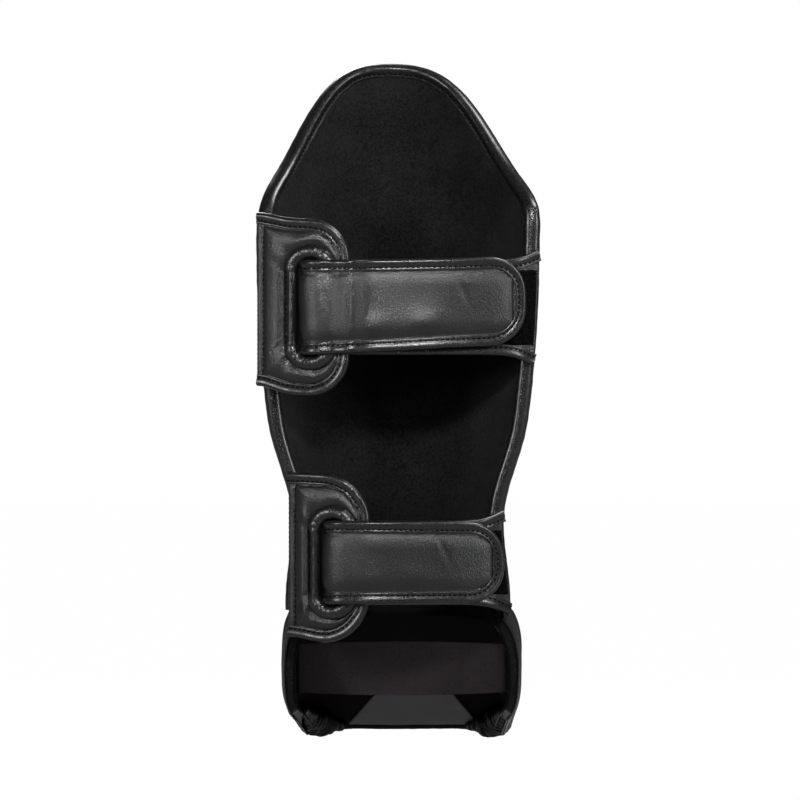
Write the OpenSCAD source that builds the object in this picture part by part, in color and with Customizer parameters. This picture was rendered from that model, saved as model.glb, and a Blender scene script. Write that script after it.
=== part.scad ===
// Shin and instep guard, open back towards -Y, toes towards +Y, leg axis on Z.
// A padded shell wraps the shin, two straps close it behind the leg, and a hinged
// pad covers the instep with an elastic band under the foot.

/* [Shin pad] */
// Height of the pad's lower edge, above the sole
ankle_z = 84; // [80:1:90]
// Height of the narrowest place, above the ankle
waist_z = 138; // [128:1:150]
// Height of the swelling under the calf
lower_calf_z = 195; // [180:1:215]
// Height of the widest place
calf_z = 305; // [285:1:310]
// Height of the shoulders, where the top edge starts to rise
shoulder_z = 322; // [320:1:340]
// Height of the top of the dome
crown_z = 416; // [380:1:450]
// How far the top of the dome lies to the left
crown_shift = 7; // [0:1:20]
// Narrowness of the dome
dome_power = 2.2; // [1.6:0.1:3]
// Flatness of the dome's top
dome_flatness = 1.43; // [1:0.01:1.6]
// How much the dome's flanks swell above the shoulders
shoulder_rise = 13.5; // [0:0.5:20]
// How far the left shoulder is rounded down at the pad's edge
left_shoulder_drop = 16; // [0:1:20]
// How far the right shoulder is rounded down at the pad's edge
right_shoulder_drop = 8; // [0:1:20]
// Inner half width at the lower edge
ankle_half_w = 62; // [58:1:66]
// Inner half width at the narrowest place
waist_half_w = 58; // [55:1:62]
// Inner half width under the calf
lower_calf_half_w = 73; // [68:1:78]
// Inner half width at the widest place
calf_half_w = 80; // [74:1:88]
// Inner depth from the open back to the front, at the ankle
ankle_depth = 60; // [54:1:68]
// Inner depth at the calf
calf_depth = 79; // [70:1:90]
// How far the leg axis lies in front of the open back
back_gap = 35; // [25:1:45]
// How far the pad leans to the left of the instep
shin_shift = 2; // [0:0.5:5]
// How much the side walls open towards the back, from 0 for round to 1
side_flare = 0.45; // [0:0.05:0.8]

/* [Padding] */
// Thickness of the brushed lining
liner_t = 1.2; // [0.8:0.1:2]
// Thickness of the soft foam at the edges
comfort_edge_t = 1.4; // [1:0.1:3]
// How much the soft foam swells at the front
comfort_rise = 4; // [2:0.5:8]
// Thickness of the dense foam at the edges
impact_edge_t = 2.4; // [1.5:0.1:4]
// How much the dense foam swells at the front
impact_rise = 14; // [8:0.5:20]
// Share of the swelling that a sewn channel draws in
channel_draw = 0.34; // [0:0.02:0.6]
// Angle of the two sewn channels from the front
channel_a = 27; // [18:9:36]
// Thickness of the synthetic leather cover
cover_t = 1.4; // [1:0.1:2]

/* [Edge tape] */
// Thickness of the edge tape on the pads
tape_t = 1.2; // [0.8:0.1:1.6]
// Width of the edge tape on each face
tape_w = 6.5; // [5:0.5:9]
// Thickness of the edge tape on the flaps and straps
thin_tape_t = 0.8; // [0.5:0.1:1.2]

/* [Flaps and straps] */
// How far the closed straps bulge behind the open back
closure_bulge = 20; // [12:1:28]
// Thickness of the strap leather
strap_t = 1.8; // [1.4:0.1:2.4]
// Thickness of the loop pile
loop_t = 1; // [0.8:0.1:1.6]
// Thickness of the hook tape
hook_t = 1.4; // [1:0.1:2]
// Length of the hook tape
hook_len = 54; // [40:1:60]
// Thickness of a flap's lining
flap_backing_t = 0.9; // [0.7:0.1:1.2]
// Thickness of a flap's foam
flap_foam_t = 1.4; // [1:0.1:2.5]
// Thickness of a flap's leather face
flap_face_t = 1; // [0.8:0.1:1.4]
// Radius of a flap's free corners
flap_corner_r = 22; // [14:1:26]
// Width of the rolled rim around a slot
slot_rim_w = 5; // [4:0.5:7]
// Radius of a slot's corners
slot_corner_r = 7; // [3:0.5:7]
// Space between a strap's edge and the end of its slot
slot_end_gap = 2.5; // [1.5:0.5:5]
// Space between the fold of a strap and the outer side of its slot
slot_side_gap = 3; // [2:0.5:6]
// Radius of a strap's tip
strap_tip_r = 23; // [16:1:24]

/* [Upper closure] */
// Height of the upper flap's lower edge
upper_flap_bottom = 211; // [205:1:220]
// Height of the upper flap's top edge
upper_flap_top = 319; // [310:1:320]
// How far the upper flap reaches across the back
upper_flap_reach = 56; // [52:1:66]
// Width of the slot in the upper flap
upper_slot_w = 18; // [16:1:22]
// Distance of the slot from the upper flap's sewn edge
upper_slot_inset = 24; // [22:1:28]
// Height of the upper strap's middle
upper_strap_z = 265; // [258:1:272]
// Width of the upper strap
upper_strap_w = 57; // [50:1:62]
// Rise of the upper strap towards its tip, in degrees
upper_strap_tilt = 3; // [0:0.5:4]
// Distance of the upper strap's tip from the right edge
upper_tip_inset = 9; // [7:1:20]

/* [Lower closure] */
// Height of the lower flap's lower edge
lower_flap_bottom = 58; // [56:1:66]
// Height of the lower flap's top edge
lower_flap_top = 161; // [150:1:170]
// How far the lower flap reaches across the back
lower_flap_reach = 49; // [46:1:58]
// Width of the slot in the lower flap
lower_slot_w = 16; // [15:1:19]
// Distance of the slot from the lower flap's sewn edge
lower_slot_inset = 19; // [17:1:22]
// Height of the lower strap's middle
lower_strap_z = 107; // [102:1:112]
// Width of the lower strap
lower_strap_w = 50; // [46:1:54]
// Rise of the lower strap towards its tip, in degrees
lower_strap_tilt = 0; // [0:0.5:3]
// Distance of the lower strap's tip from the right edge
lower_tip_inset = 3; // [2:1:16]

/* [Instep pad] */
// Height of the ankle crease at the front
crease_z = 74; // [70:1:76]
// Depth of the ankle crease in front of the leg axis
crease_y = 27; // [22:1:32]
// How far the side walls reach behind the leg axis
heel_reach = 25; // [18:1:28]
// Depth of the toe edge in front of the leg axis
toe_y = 146; // [125:1:170]
// How far the toe corners are rounded back
toe_round = 20; // [10:1:30]
// Height of the instep's lower rim at the heel side
rim_z = 17; // [12:0.5:20]
// Height of the instep's toe edge
toe_z = 1.5; // [0:0.5:8]
// Inner half width at the heel side
heel_half_w = 66; // [62:1:70]
// Inner half width at the toe edge
toe_half_w = 58; // [54:1:64]
// How far the toe edge lies to the right of the leg axis
toe_shift = 2.5; // [0:0.5:8]
// Thickness of the instep foam at the edges
instep_edge_t = 2.8; // [2:0.1:5]
// How much the instep foam swells in the middle
instep_rise = 9; // [5:0.5:14]

/* [Elastic band] */
// Width of the elastic band under the foot
elastic_w = 37; // [30:1:38]
// Thickness of the elastic band
elastic_t = 1.6; // [1:0.1:2.2]
// Height of the elastic band's upper edge
elastic_top_z = 57; // [56:0.5:60]
// Lean of the elastic band towards the toes, in degrees
elastic_lean = 30; // [15:1:40]
// Length of the ends sewn to the side walls
elastic_end = 12; // [8:1:16]
// Thickness of the leather tabs over the sewn ends
tab_t = 1.2; // [0.8:0.1:2]

/* [Hidden] */
$fn = 96;

// Clearance between sewn pieces, and between pieces that move past each other
sewn_gap = 0.1;
tape_gap = 0.4;
move_gap = 0.4;
// Counts of columns and rows in the pads' meshes
shin_cols = 20;
shin_rows = 16;
instep_cols = 18;
instep_rows = 9;
// Half angle that the instep wraps, past the widest place and in under the foot
wrap_a = 115;
// Powers that flatten the instep's top and sides, and draw its columns to the middle
side_power = 0.36;
top_power = 0.45;
column_power = 1.8;
// Largest share of the pad's first step that its edge tape covers
tape_share = 0.55;
// Width of a sewn channel, in degrees
channel_spread = 5;

leather = [0.13, 0.13, 0.14];
lining = [0.06, 0.06, 0.07];
foam = [0.32, 0.32, 0.34];
tape = [0.18, 0.18, 0.19];
pile = [0.04, 0.04, 0.045];
elastic_black = [0.11, 0.1, 0.105];

back_y = -back_gap;
edge_t = liner_t + comfort_edge_t + impact_edge_t + cover_t;
instep_t = liner_t + instep_edge_t + cover_t;
tape_out = tape_gap + tape_t;

function unit(v) = v / norm(v);
function mix(a, b, t) = a + (b - a) * t;
function steps(a, b, n) = [for (i = [0:n]) mix(a, b, i / n)];
function signed_pow(x, p) = sign(x) * pow(abs(x), p);

// Slope of the smooth curve at point i, level at both ends
function slope(p, i) = i == 0 || i == len(p) - 1
    ? 0
    : (p[i + 1][1] - p[i - 1][1]) / (p[i + 1][0] - p[i - 1][0]);

// Smooth curve through points of [place, value], held level beyond both ends
function curve(p, x) =
    x <= p[0][0] ? p[0][1]
    : x >= p[len(p) - 1][0] ? p[len(p) - 1][1]
    : let (
        i = max([for (k = [0:len(p) - 2]) if (p[k][0] <= x) k]),
        span = p[i + 1][0] - p[i][0],
        t = (x - p[i][0]) / span,
        rise = p[i + 1][1] - p[i][1]
    )
    p[i][1] + rise * t * t * (3 - 2 * t)
        + span * t * (1 - t) * (slope(p, i) * (1 - t) - slope(p, i + 1) * t);

// Closed shell between two grids of points with the same rows and columns
module shell(inner, outer) {
    rows = len(inner) - 1;
    cols = len(inner[0]) - 1;
    count = (rows + 1) * (cols + 1);
    function at(side, i, j) = side * count + i * (cols + 1) + j;
    function quad(a, b, c, d) = [[a, b, c], [a, c, d]];
    sheets = [
        for (i = [0:rows - 1], j = [0:cols - 1]) each concat(
            quad(at(1, i, j), at(1, i, j + 1), at(1, i + 1, j + 1), at(1, i + 1, j)),
            quad(at(0, i, j), at(0, i + 1, j), at(0, i + 1, j + 1), at(0, i, j + 1)))
    ];
    ends = [
        for (j = [0:cols - 1]) each concat(
            quad(at(1, 0, j + 1), at(1, 0, j), at(0, 0, j), at(0, 0, j + 1)),
            quad(at(1, rows, j), at(1, rows, j + 1), at(0, rows, j + 1), at(0, rows, j)))
    ];
    sides = [
        for (i = [0:rows - 1]) each concat(
            quad(at(1, i, 0), at(1, i + 1, 0), at(0, i + 1, 0), at(0, i, 0)),
            quad(at(1, i + 1, cols), at(1, i, cols), at(0, i, cols), at(0, i + 1, cols)))
    ];
    points = [for (grid = [inner, outer], row = grid, p = row) p];
    polyhedron(points, concat(sheets, ends, sides), convexity = 8);
}

// Tape folded over the edge of a padded stack, along stations of
// [row, column, inward row, inward column]
module edge_tape(inner, outer, stations) {
    n = len(stations);
    function foot(grid, k) = grid[stations[k][0]][stations[k][1]];
    // Step from the edge across the tape, shorter where the pad bends close to its edge
    function inward(grid, k) =
        let (
            along = unit(foot(grid, min(k + 1, n - 1)) - foot(grid, max(k - 1, 0))),
            d = grid[stations[k][2]][stations[k][3]] - foot(grid, k),
            square = d - along * (d * along)
        )
        square * min(tape_share, tape_w / norm(square));
    function ring(k) =
        let (
            p = foot(inner, k),
            q = foot(outer, k),
            across = unit(q - p),
            a = inward(inner, k),
            b = inward(outer, k),
            near = across * tape_gap,
            far = across * tape_out
        )
        [
            p + a - near, p - unit(a) * tape_gap - near,
            q - unit(b) * tape_gap + near, q + b + near,
            q + b + far, q - unit(b) * tape_out + far,
            p - unit(a) * tape_out - far, p + a - far
        ];
    points = [for (k = [0:n - 1]) each ring(k)];
    last = (n - 1) * 8;
    walls = [
        for (k = [0:n - 2], c = [0:7])
            let (a = k * 8 + c, b = k * 8 + (c + 1) % 8)
            each [[a, a + 8, b + 8], [a, b + 8, b]]
    ];
    caps = [
        for (q = [[0, 1, 6, 7], [1, 2, 5, 6], [2, 3, 4, 5]]) each [
            [q[0], q[1], q[2]], [q[0], q[2], q[3]],
            [last + q[2], last + q[1], last + q[0]], [last + q[3], last + q[2], last + q[0]]
        ]
    ];
    polyhedron(points, concat(walls, caps), convexity = 8);
}

// Shin pad: angle a runs from -90 at the left edge to 90 at the right edge, and
// v runs from 0 at the ankle to 1 at the top edge
function shin_half_w(z) = curve(
    [[ankle_z, ankle_half_w], [waist_z, waist_half_w],
     [lower_calf_z, lower_calf_half_w], [calf_z, calf_half_w]], z);
function shin_depth(z) = curve([[waist_z, ankle_depth], [calf_z, calf_depth]], z);
crown_a = -asin(crown_shift / calf_half_w);
// Where the flanks swell most, from 0 at the crown to 1 at the pad's edge
flank_place = 0.93;
flank_spread = 0.25;
// How close to the pad's edge the shoulders are rounded down
corner_spread = 0.06;
corner_power = 1.3;
function bell(t) = pow(max(0, cos(90 * pow(t, dome_flatness))), dome_power);
function shin_top(a) =
    let (t = a < crown_a ? (crown_a - a) / (crown_a + 90) : (a - crown_a) / (90 - crown_a))
    mix(shoulder_z, crown_z, bell(t))
    + shoulder_rise * exp(-pow((t - flank_place) / flank_spread, 2))
    - (a > 0 ? right_shoulder_drop : left_shoulder_drop) * exp(-pow((1 - t) / corner_spread, corner_power));
// How quickly the padding thins towards the sides
swell_power = 1.2;
function shin_swell(a, v) = pow(max(0, cos(a)), swell_power) * sqrt(sin(180 * v));
function channel(a) = channel_draw * exp(-pow((abs(a) - channel_a) / channel_spread, 2));
function shin_layers(a, v) = [
    0,
    liner_t,
    comfort_edge_t + comfort_rise * shin_swell(a, v),
    impact_edge_t + impact_rise * shin_swell(a, v) * (1 - channel(a)),
    cover_t
];
function sum_to(list, k) = k < 0 ? 0 : list[k] + sum_to(list, k - 1);
function shin_pt(a, v, d) =
    let (z = mix(ankle_z, shin_top(a), v))
    [
        (shin_half_w(z) + d) * mix(sin(a), a / 90, side_flare) - shin_shift,
        back_y + (shin_depth(z) + d) * cos(a),
        z
    ];
function shin_grid(k) = [
    for (v = steps(0, 1, shin_rows)) [
        for (a = steps(-90, 90, shin_cols)) shin_pt(a, v, sum_to(shin_layers(a, v), k))
    ]
];
shin_edge = concat(
    [for (i = [0:shin_rows - 1]) [i, 0, i, 1]],
    [[shin_rows, 0, shin_rows - 1, 1]],
    [for (j = [1:shin_cols - 1]) [shin_rows, j, shin_rows - 1, j]],
    [[shin_rows, shin_cols, shin_rows - 1, shin_cols - 1]],
    [for (i = [shin_rows - 1:-1:0]) [i, shin_cols, i, shin_cols - 1]]
);

module shin_liner() { color(lining) shell(shin_grid(0), shin_grid(1)); }
module shin_comfort_foam() { color(foam) shell(shin_grid(1), shin_grid(2)); }
module shin_impact_foam() { color(foam) shell(shin_grid(2), shin_grid(3)); }
module shin_cover() { color(leather) shell(shin_grid(3), shin_grid(4)); }
module shin_binding() { color(tape) edge_tape(shin_grid(0), shin_grid(4), shin_edge); }

// Instep pad: angle f runs from one rim over the top to the other, and v runs
// from the heel and ankle edge to the toe edge
wrap_drop = signed_pow(cos(wrap_a), top_power);
arch_h = (crease_z - rim_z) / (1 - wrap_drop);
function arch_x(f) = signed_pow(sin(f), side_power);
ankle_x = ankle_half_w - shin_shift;
function heel_y(f) =
    let (t = min(1, abs(arch_x(f)) * heel_half_w / ankle_x))
    abs(f) > 90 ? -heel_reach : mix(-heel_reach, crease_y, sqrt(1 - t * t));
function toe_edge_y(f) = toe_y - toe_round * pow(arch_x(f), 4);
function instep_layers(f, v) = [
    0,
    liner_t,
    instep_edge_t + instep_rise * max(0, cos(90 * f / wrap_a)) * sqrt(sin(180 * v)),
    cover_t
];
function instep_pt(f, v, d) =
    let (
        y = mix(heel_y(f), toe_edge_y(f), v),
        s = max(0, (y - crease_y) / (toe_edge_y(f) - crease_y)),
        h = arch_h * (1 - s),
        w = mix(heel_half_w, toe_half_w, s)
    )
    [
        (w + d) * arch_x(f) + toe_shift * s,
        y,
        mix(rim_z, toe_z, s) - h * wrap_drop + (h + d) * signed_pow(cos(f), top_power)
    ];
function column_a(j) = wrap_a * signed_pow(1 - 2 * j / instep_cols, column_power);
function instep_grid(k) = [
    for (v = steps(0, 1, instep_rows)) [
        for (j = [0:instep_cols])
            let (f = column_a(j))
            instep_pt(f, v, sum_to(instep_layers(f, v), k))
    ]
];
// Column where the heel edge meets the ankle edge
ankle_a = asin(pow(ankle_x / heel_half_w, 1 / side_power));
corner_col = floor((1 - pow(ankle_a / wrap_a, 1 / column_power)) * instep_cols / 2);
instep_edge = concat(
    [for (j = [corner_col:-1:1]) [0, j, 1, j]],
    [[0, 0, 1, 1]],
    [for (i = [1:instep_rows - 1]) [i, 0, i, 1]],
    [[instep_rows, 0, instep_rows - 1, 1]],
    [for (j = [1:instep_cols - 1]) [instep_rows, j, instep_rows - 1, j]],
    [[instep_rows, instep_cols, instep_rows - 1, instep_cols - 1]],
    [for (i = [instep_rows - 1:-1:1]) [i, instep_cols, i, instep_cols - 1]],
    [[0, instep_cols, 1, instep_cols - 1]],
    [for (j = [instep_cols - 1:-1:instep_cols - corner_col]) [0, j, 1, j]]
);

module instep_liner() { color(lining) shell(instep_grid(0), instep_grid(1)); }
module instep_foam() { color(foam) shell(instep_grid(1), instep_grid(2)); }
module instep_cover() { color(leather) shell(instep_grid(2), instep_grid(3)); }
module instep_binding() { color(tape) edge_tape(instep_grid(0), instep_grid(3), instep_edge); }

// Soft leather strip between the shin pad and the instep pad
gusset_t = 2;
// Columns of the instep's ankle edge, from left to right, and the share of the shin's edge
gusset_cols = [instep_cols - corner_col - 1:-1:corner_col + 1];
gusset_share = 0.97;
function gusset_a(j) = asin(gusset_share * arch_x(column_a(j)) / arch_x(column_a(corner_col + 1)));
function gusset_low(d) = [
    for (j = gusset_cols) instep_pt(column_a(j), 0, d) + [0, -tape_gap, tape_gap]
];
function gusset_high(d) = [for (j = gusset_cols) shin_pt(gusset_a(j), 0, d) - [0, 0, tape_gap]];
module ankle_gusset() {
    color(leather) shell(
        [gusset_low(instep_t - gusset_t), gusset_high(edge_t - gusset_t)],
        [gusset_low(instep_t), gusset_high(edge_t)]);
}

// Closures: every layer lies on an upright arc behind the open back. A closure is
// [left x, right x, flap bottom, flap top, reach, slot width, slot inset,
//  strap z, strap width, strap tilt, tip inset]
seat_y = back_y - tape_out - move_gap;
closure_y = seat_y - thin_tape_t - sewn_gap;
function left_x(z) = -shin_half_w(z) - edge_t - tape_out - shin_shift;
function right_x(z) = shin_half_w(z) + edge_t + tape_out - shin_shift;
upper = [
    left_x((upper_flap_bottom + upper_flap_top) / 2), right_x(upper_strap_z),
    upper_flap_bottom, upper_flap_top, upper_flap_reach, upper_slot_w, upper_slot_inset,
    upper_strap_z, upper_strap_w, upper_strap_tilt, upper_tip_inset
];
lower = [
    left_x((lower_flap_bottom + lower_flap_top) / 2), right_x(lower_strap_z),
    lower_flap_bottom, lower_flap_top, lower_flap_reach, lower_slot_w, lower_slot_inset,
    lower_strap_z, lower_strap_w, lower_strap_tilt, lower_tip_inset
];
function mid_x(c) = (c[0] + c[1]) / 2;
function arc_r(c) =
    let (half = (c[1] - c[0]) / 2)
    (half * half + closure_bulge * closure_bulge) / (2 * closure_bulge);
function arc_y(c) = closure_y - closure_bulge + arc_r(c);
// Depth of the arc that lies r outside the strap's inner face, at place x
function face_y(c, r, x) = arc_y(c) - sqrt(pow(arc_r(c) + r, 2) - pow(x - mid_x(c), 2));

// Distances of the layers outside the strap base's inner face
loop_r = strap_t + sewn_gap;
flap_r = max(loop_r + loop_t, loop_r + thin_tape_t) + move_gap + thin_tape_t + sewn_gap;
foam_r = flap_r + flap_backing_t;
face_r = foam_r + flap_foam_t;
flap_top_r = face_r + flap_face_t;
over_flap_r = flap_top_r + 2 * thin_tape_t + 2 * sewn_gap + move_gap;
over_loop_r = loop_r + loop_t + move_gap + hook_t + sewn_gap;
function fold_x(c) = c[0] + c[6] + slot_side_gap + (over_flap_r + strap_t) / 2;
function tip_x(c) = c[1] - c[10];
function flap_end_x(c) = c[0] + c[4];
// The tail leans in from over the flap's edge to the loop pile
function tail_lean(c) = atan((over_flap_r - over_loop_r) / (tip_x(c) - flap_end_x(c)));
function tail_r(c) = over_flap_r + (flap_end_x(c) - fold_x(c)) * tan(tail_lean(c));
function peel_r(c) = tail_r(c) + strap_t + sewn_gap + thin_tape_t;
function peel_y(c) = face_y(c, peel_r(c), fold_x(c));

// Part of an upright arc from r0 to r1, cut to a flat outline seen from behind
module arc_plate(c, r0, r1) {
    deep = 60;
    intersection() {
        translate([mid_x(c), arc_y(c), 0])
            difference() {
                cylinder(r = arc_r(c) + r1, h = crown_z);
                translate([0, 0, -1]) cylinder(r = arc_r(c) + r0, h = crown_z + 2);
            }
        translate([0, back_y + deep / 4, 0])
            rotate([90, 0, 0]) linear_extrude(deep * 1.5) children();
    }
}

// Flat tab with its right corners rounded
module tab(x0, z0, x1, z1, r) {
    translate([x0, z0]) square([x1 - r - x0, z1 - z0]);
    translate([x0, z0 + r]) square([x1 - x0, z1 - z0 - 2 * r]);
    for (z = [z0 + r, z1 - r]) translate([x1 - r, z]) circle(r);
}

// Slot with all corners rounded
module slot_shape(x0, z0, x1, z1, r) {
    translate([x0 + r, z0]) square([x1 - x0 - 2 * r, z1 - z0]);
    translate([x0, z0 + r]) square([x1 - x0, z1 - z0 - 2 * r]);
    for (x = [x0 + r, x1 - r], z = [z0 + r, z1 - r]) translate([x, z]) circle(r);
}

module flap_outline(c, grow, open) {
    tab(c[0] - open, c[2] - grow, flap_end_x(c) + grow, c[3] + grow, flap_corner_r + grow);
}
module flap_slot(c, grow) {
    half = c[8] / 2 + slot_end_gap;
    x0 = c[0] + c[6];
    slot_shape(x0 - grow, c[7] - half - grow, x0 + c[5] + grow, c[7] + half + grow,
        slot_corner_r + grow);
}
module flap_layer(c, r0, r1) {
    arc_plate(c, r0, r1) difference() {
        flap_outline(c, 0, 0);
        flap_slot(c, thin_tape_t + sewn_gap);
    }
}
// Tape folded over the flap's free edges
module flap_binding(c) {
    skin = sewn_gap + thin_tape_t;
    difference() {
        arc_plate(c, flap_r - skin, flap_top_r + skin) difference() {
            flap_outline(c, skin, 0);
            flap_outline(c, -tape_w, 1);
        }
        arc_plate(c, flap_r - sewn_gap, flap_top_r + sewn_gap) flap_outline(c, sewn_gap, 1);
    }
}
// Rolled leather sleeve through the slot, with a rim on both faces
module slot_rim(c) {
    skin = sewn_gap + thin_tape_t;
    difference() {
        arc_plate(c, flap_r - skin, flap_top_r + skin) difference() {
            flap_slot(c, slot_rim_w);
            flap_slot(c, 0);
        }
        arc_plate(c, flap_r - sewn_gap, flap_top_r + sewn_gap) difference() {
            flap_slot(c, slot_rim_w + 1);
            flap_slot(c, thin_tape_t);
        }
    }
}
// Round cord in the seam that joins the flap to the pad's edge
function piping_r(c) = (seat_y - face_y(c, flap_r, c[0])) / 2 - sewn_gap;
function piping_x(c) = c[0] + piping_r(c);
function piping_y(c) = seat_y - piping_r(c);
module flap_piping(c) {
    translate([piping_x(c), piping_y(c), max(c[2], ankle_z)])
        cylinder(r = piping_r(c), h = c[3] - max(c[2], ankle_z));
}

// Strap base, sewn to the pad's right edge and widening towards it
flare_len = 22;
flare_h = 6;
module base_outline(c, grow, open) {
    z0 = c[7] - c[8] / 2 - grow;
    z1 = c[7] + c[8] / 2 + grow;
    flare = flare_h * (1 + open / flare_len);
    x0 = min(c[1], right_x(z0 - flare)) + open;
    x1 = min(c[1], right_x(z1 + flare)) + open;
    polygon([
        [fold_x(c) - open, z0], [c[1] - flare_len, z0], [x0, z0 - flare],
        [x1, z1 + flare], [c[1] - flare_len, z1], [fold_x(c) - open, z1]
    ]);
}
module strap_base(c) { arc_plate(c, 0, strap_t) base_outline(c, 0, 0); }
module base_binding(c) {
    skin = sewn_gap + thin_tape_t;
    difference() {
        arc_plate(c, -skin, strap_t + skin) difference() {
            base_outline(c, skin, 0);
            base_outline(c, -tape_w, 1);
        }
        arc_plate(c, -sewn_gap, strap_t + sewn_gap) base_outline(c, sewn_gap, 1);
    }
}
module loop_panel(c) {
    half = c[8] / 2 - tape_w - 1;
    x0 = fold_x(c) + tape_w;
    x1 = min(c[1], right_x(c[7] - half), right_x(c[7] + half)) - tape_w / 2;
    arc_plate(c, loop_r, loop_r + loop_t)
        translate([x0, c[7] - half]) square([x1 - x0, 2 * half]);
}

// Strap tail, which folds back out of the slot and leans in to the loop pile
module lean_in(c) {
    p = [fold_x(c), peel_y(c), 0];
    translate(p) rotate([0, 0, tail_lean(c)]) translate(-p) children();
}
// How far the tail's outline is drawn past the fold before it is cut off there
fold_overrun = 9;
module tail_outline(c, grow, open) {
    translate([fold_x(c), c[7]]) rotate(c[9])
        tab(-open, -c[8] / 2 - grow, tip_x(c) - fold_x(c) + grow, c[8] / 2 + grow,
            strap_tip_r + grow);
}
module tail_cut(c) {
    intersection() {
        children();
        translate([fold_x(c), 0]) square([2 * calf_half_w, crown_z]);
    }
}
module strap_tail(c) {
    lean_in(c) arc_plate(c, tail_r(c), tail_r(c) + strap_t) tail_cut(c) tail_outline(c, 0, fold_overrun);
}
module tail_binding(c) {
    skin = sewn_gap + thin_tape_t;
    r1 = tail_r(c) + strap_t;
    lean_in(c) difference() {
        arc_plate(c, tail_r(c) - skin, r1 + skin) tail_cut(c) difference() {
            tail_outline(c, skin, fold_overrun);
            tail_outline(c, -tape_w, fold_overrun);
        }
        arc_plate(c, tail_r(c) - sewn_gap, r1 + sewn_gap) tail_outline(c, sewn_gap, fold_overrun);
    }
}
module hook_patch(c) {
    half = c[8] / 2 - tape_w - 1;
    x1 = tip_x(c) - fold_x(c) - tape_w - 1;
    lean_in(c) arc_plate(c, tail_r(c) - sewn_gap - hook_t, tail_r(c) - sewn_gap)
        translate([fold_x(c), c[7]]) rotate(c[9])
            tab(x1 - hook_len, -half, x1, half, strap_tip_r - tape_w - 1);
}
// Turn of the strap through the slot, from the base to the tail
module strap_fold(c) {
    x = fold_x(c);
    y_in = face_y(c, 0, x);
    y_out = face_y(c, tail_r(c) + strap_t, x);
    wall = y_in - face_y(c, strap_t, x);
    outer_r = (y_in - y_out) / 2;
    translate([x - 1.5 * move_gap, (y_in + y_out) / 2, c[7] - c[8] / 2])
        difference() {
            cylinder(r = outer_r, h = c[8]);
            translate([0, 0, -1]) cylinder(r = outer_r - wall, h = c[8] + 2);
            translate([0, -2 * outer_r, -1]) cube([2 * outer_r, 4 * outer_r, c[8] + 2]);
        }
}

module upper_strap_base() { color(leather) strap_base(upper); }
module upper_base_binding() { color(tape) base_binding(upper); }
module upper_loop_panel() { color(pile) loop_panel(upper); }
module lower_strap_base() { color(leather) strap_base(lower); }
module lower_base_binding() { color(tape) base_binding(lower); }
module lower_loop_panel() { color(pile) loop_panel(lower); }
module upper_flap_backing() { color(lining) flap_layer(upper, flap_r, foam_r); }
module upper_flap_foam() { color(foam) flap_layer(upper, foam_r, face_r); }
module upper_flap_face() { color(leather) flap_layer(upper, face_r, flap_top_r); }
module upper_flap_binding() { color(tape) flap_binding(upper); }
module upper_slot_rim() { color(tape) slot_rim(upper); }
module upper_flap_piping() { color(tape) flap_piping(upper); }
module upper_strap_fold() { color(leather) strap_fold(upper); }
module lower_flap_backing() { color(lining) flap_layer(lower, flap_r, foam_r); }
module lower_flap_foam() { color(foam) flap_layer(lower, foam_r, face_r); }
module lower_flap_face() { color(leather) flap_layer(lower, face_r, flap_top_r); }
module lower_flap_binding() { color(tape) flap_binding(lower); }
module lower_slot_rim() { color(tape) slot_rim(lower); }
module lower_flap_piping() { color(tape) flap_piping(lower); }
module lower_strap_fold() { color(leather) strap_fold(lower); }
module upper_strap_tail() { color(leather) strap_tail(upper); }
module upper_tail_binding() { color(tape) tail_binding(upper); }
module upper_hook_patch() { color(pile) hook_patch(upper); }
module lower_strap_tail() { color(leather) strap_tail(lower); }
module lower_tail_binding() { color(tape) tail_binding(lower); }
module lower_hook_patch() { color(pile) hook_patch(lower); }

// Elastic band across the heel side, its ends turned forward along the walls
band_y = -heel_reach + tape_w + tape_out;
// Inner face of the side wall at the band's upper edge
function wall_x(z) =
    let (c = (z - rim_z + arch_h * wrap_drop) / arch_h)
    heel_half_w * pow(sin(acos(signed_pow(c, 1 / top_power))), side_power);
wall_ease = 0.8;
band_half = wall_x(elastic_top_z) - wall_ease;
band_drop = elastic_w * cos(elastic_lean);
band_run = elastic_w * sin(elastic_lean);
// Slanted strip seen from the side, from y0 to y1 in front of the band's rear face
module slanted(x0, x1, y0, y1) {
    top = [band_y, elastic_top_z];
    translate([x0, 0, 0]) rotate([90, 0, 90]) linear_extrude(x1 - x0) polygon([
        top + [y0, 0], top + [y1, 0], top + [y1 + band_run, -band_drop],
        top + [y0 + band_run, -band_drop]
    ]);
}
module sole_elastic() {
    color(elastic_black) {
        slanted(-band_half, band_half, 0, elastic_t);
        for (side = [-1, 1]) slanted(
            min(side * band_half, side * (band_half - elastic_t)),
            max(side * band_half, side * (band_half - elastic_t)), 0, elastic_end);
    }
}
module elastic_tabs() {
    x1 = band_half - elastic_t - sewn_gap;
    color(leather) for (x = [-x1, x1 - tab_t])
        slanted(x, x + tab_t, elastic_t + sewn_gap, elastic_end);
}

shin_liner();
shin_comfort_foam();
shin_impact_foam();
shin_cover();
shin_binding();
upper_strap_base();
upper_base_binding();
upper_loop_panel();
lower_strap_base();
lower_base_binding();
lower_loop_panel();
ankle_gusset();
upper_flap_backing();
upper_flap_foam();
upper_flap_face();
upper_flap_binding();
upper_slot_rim();
upper_flap_piping();
upper_strap_fold();
lower_flap_backing();
lower_flap_foam();
lower_flap_face();
lower_flap_binding();
lower_slot_rim();
lower_flap_piping();
lower_strap_fold();
upper_strap_tail();
upper_tail_binding();
upper_hook_patch();
lower_strap_tail();
lower_tail_binding();
lower_hook_patch();
instep_liner();
instep_foam();
instep_cover();
instep_binding();
sole_elastic();
elastic_tabs();
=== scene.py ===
import math

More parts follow.
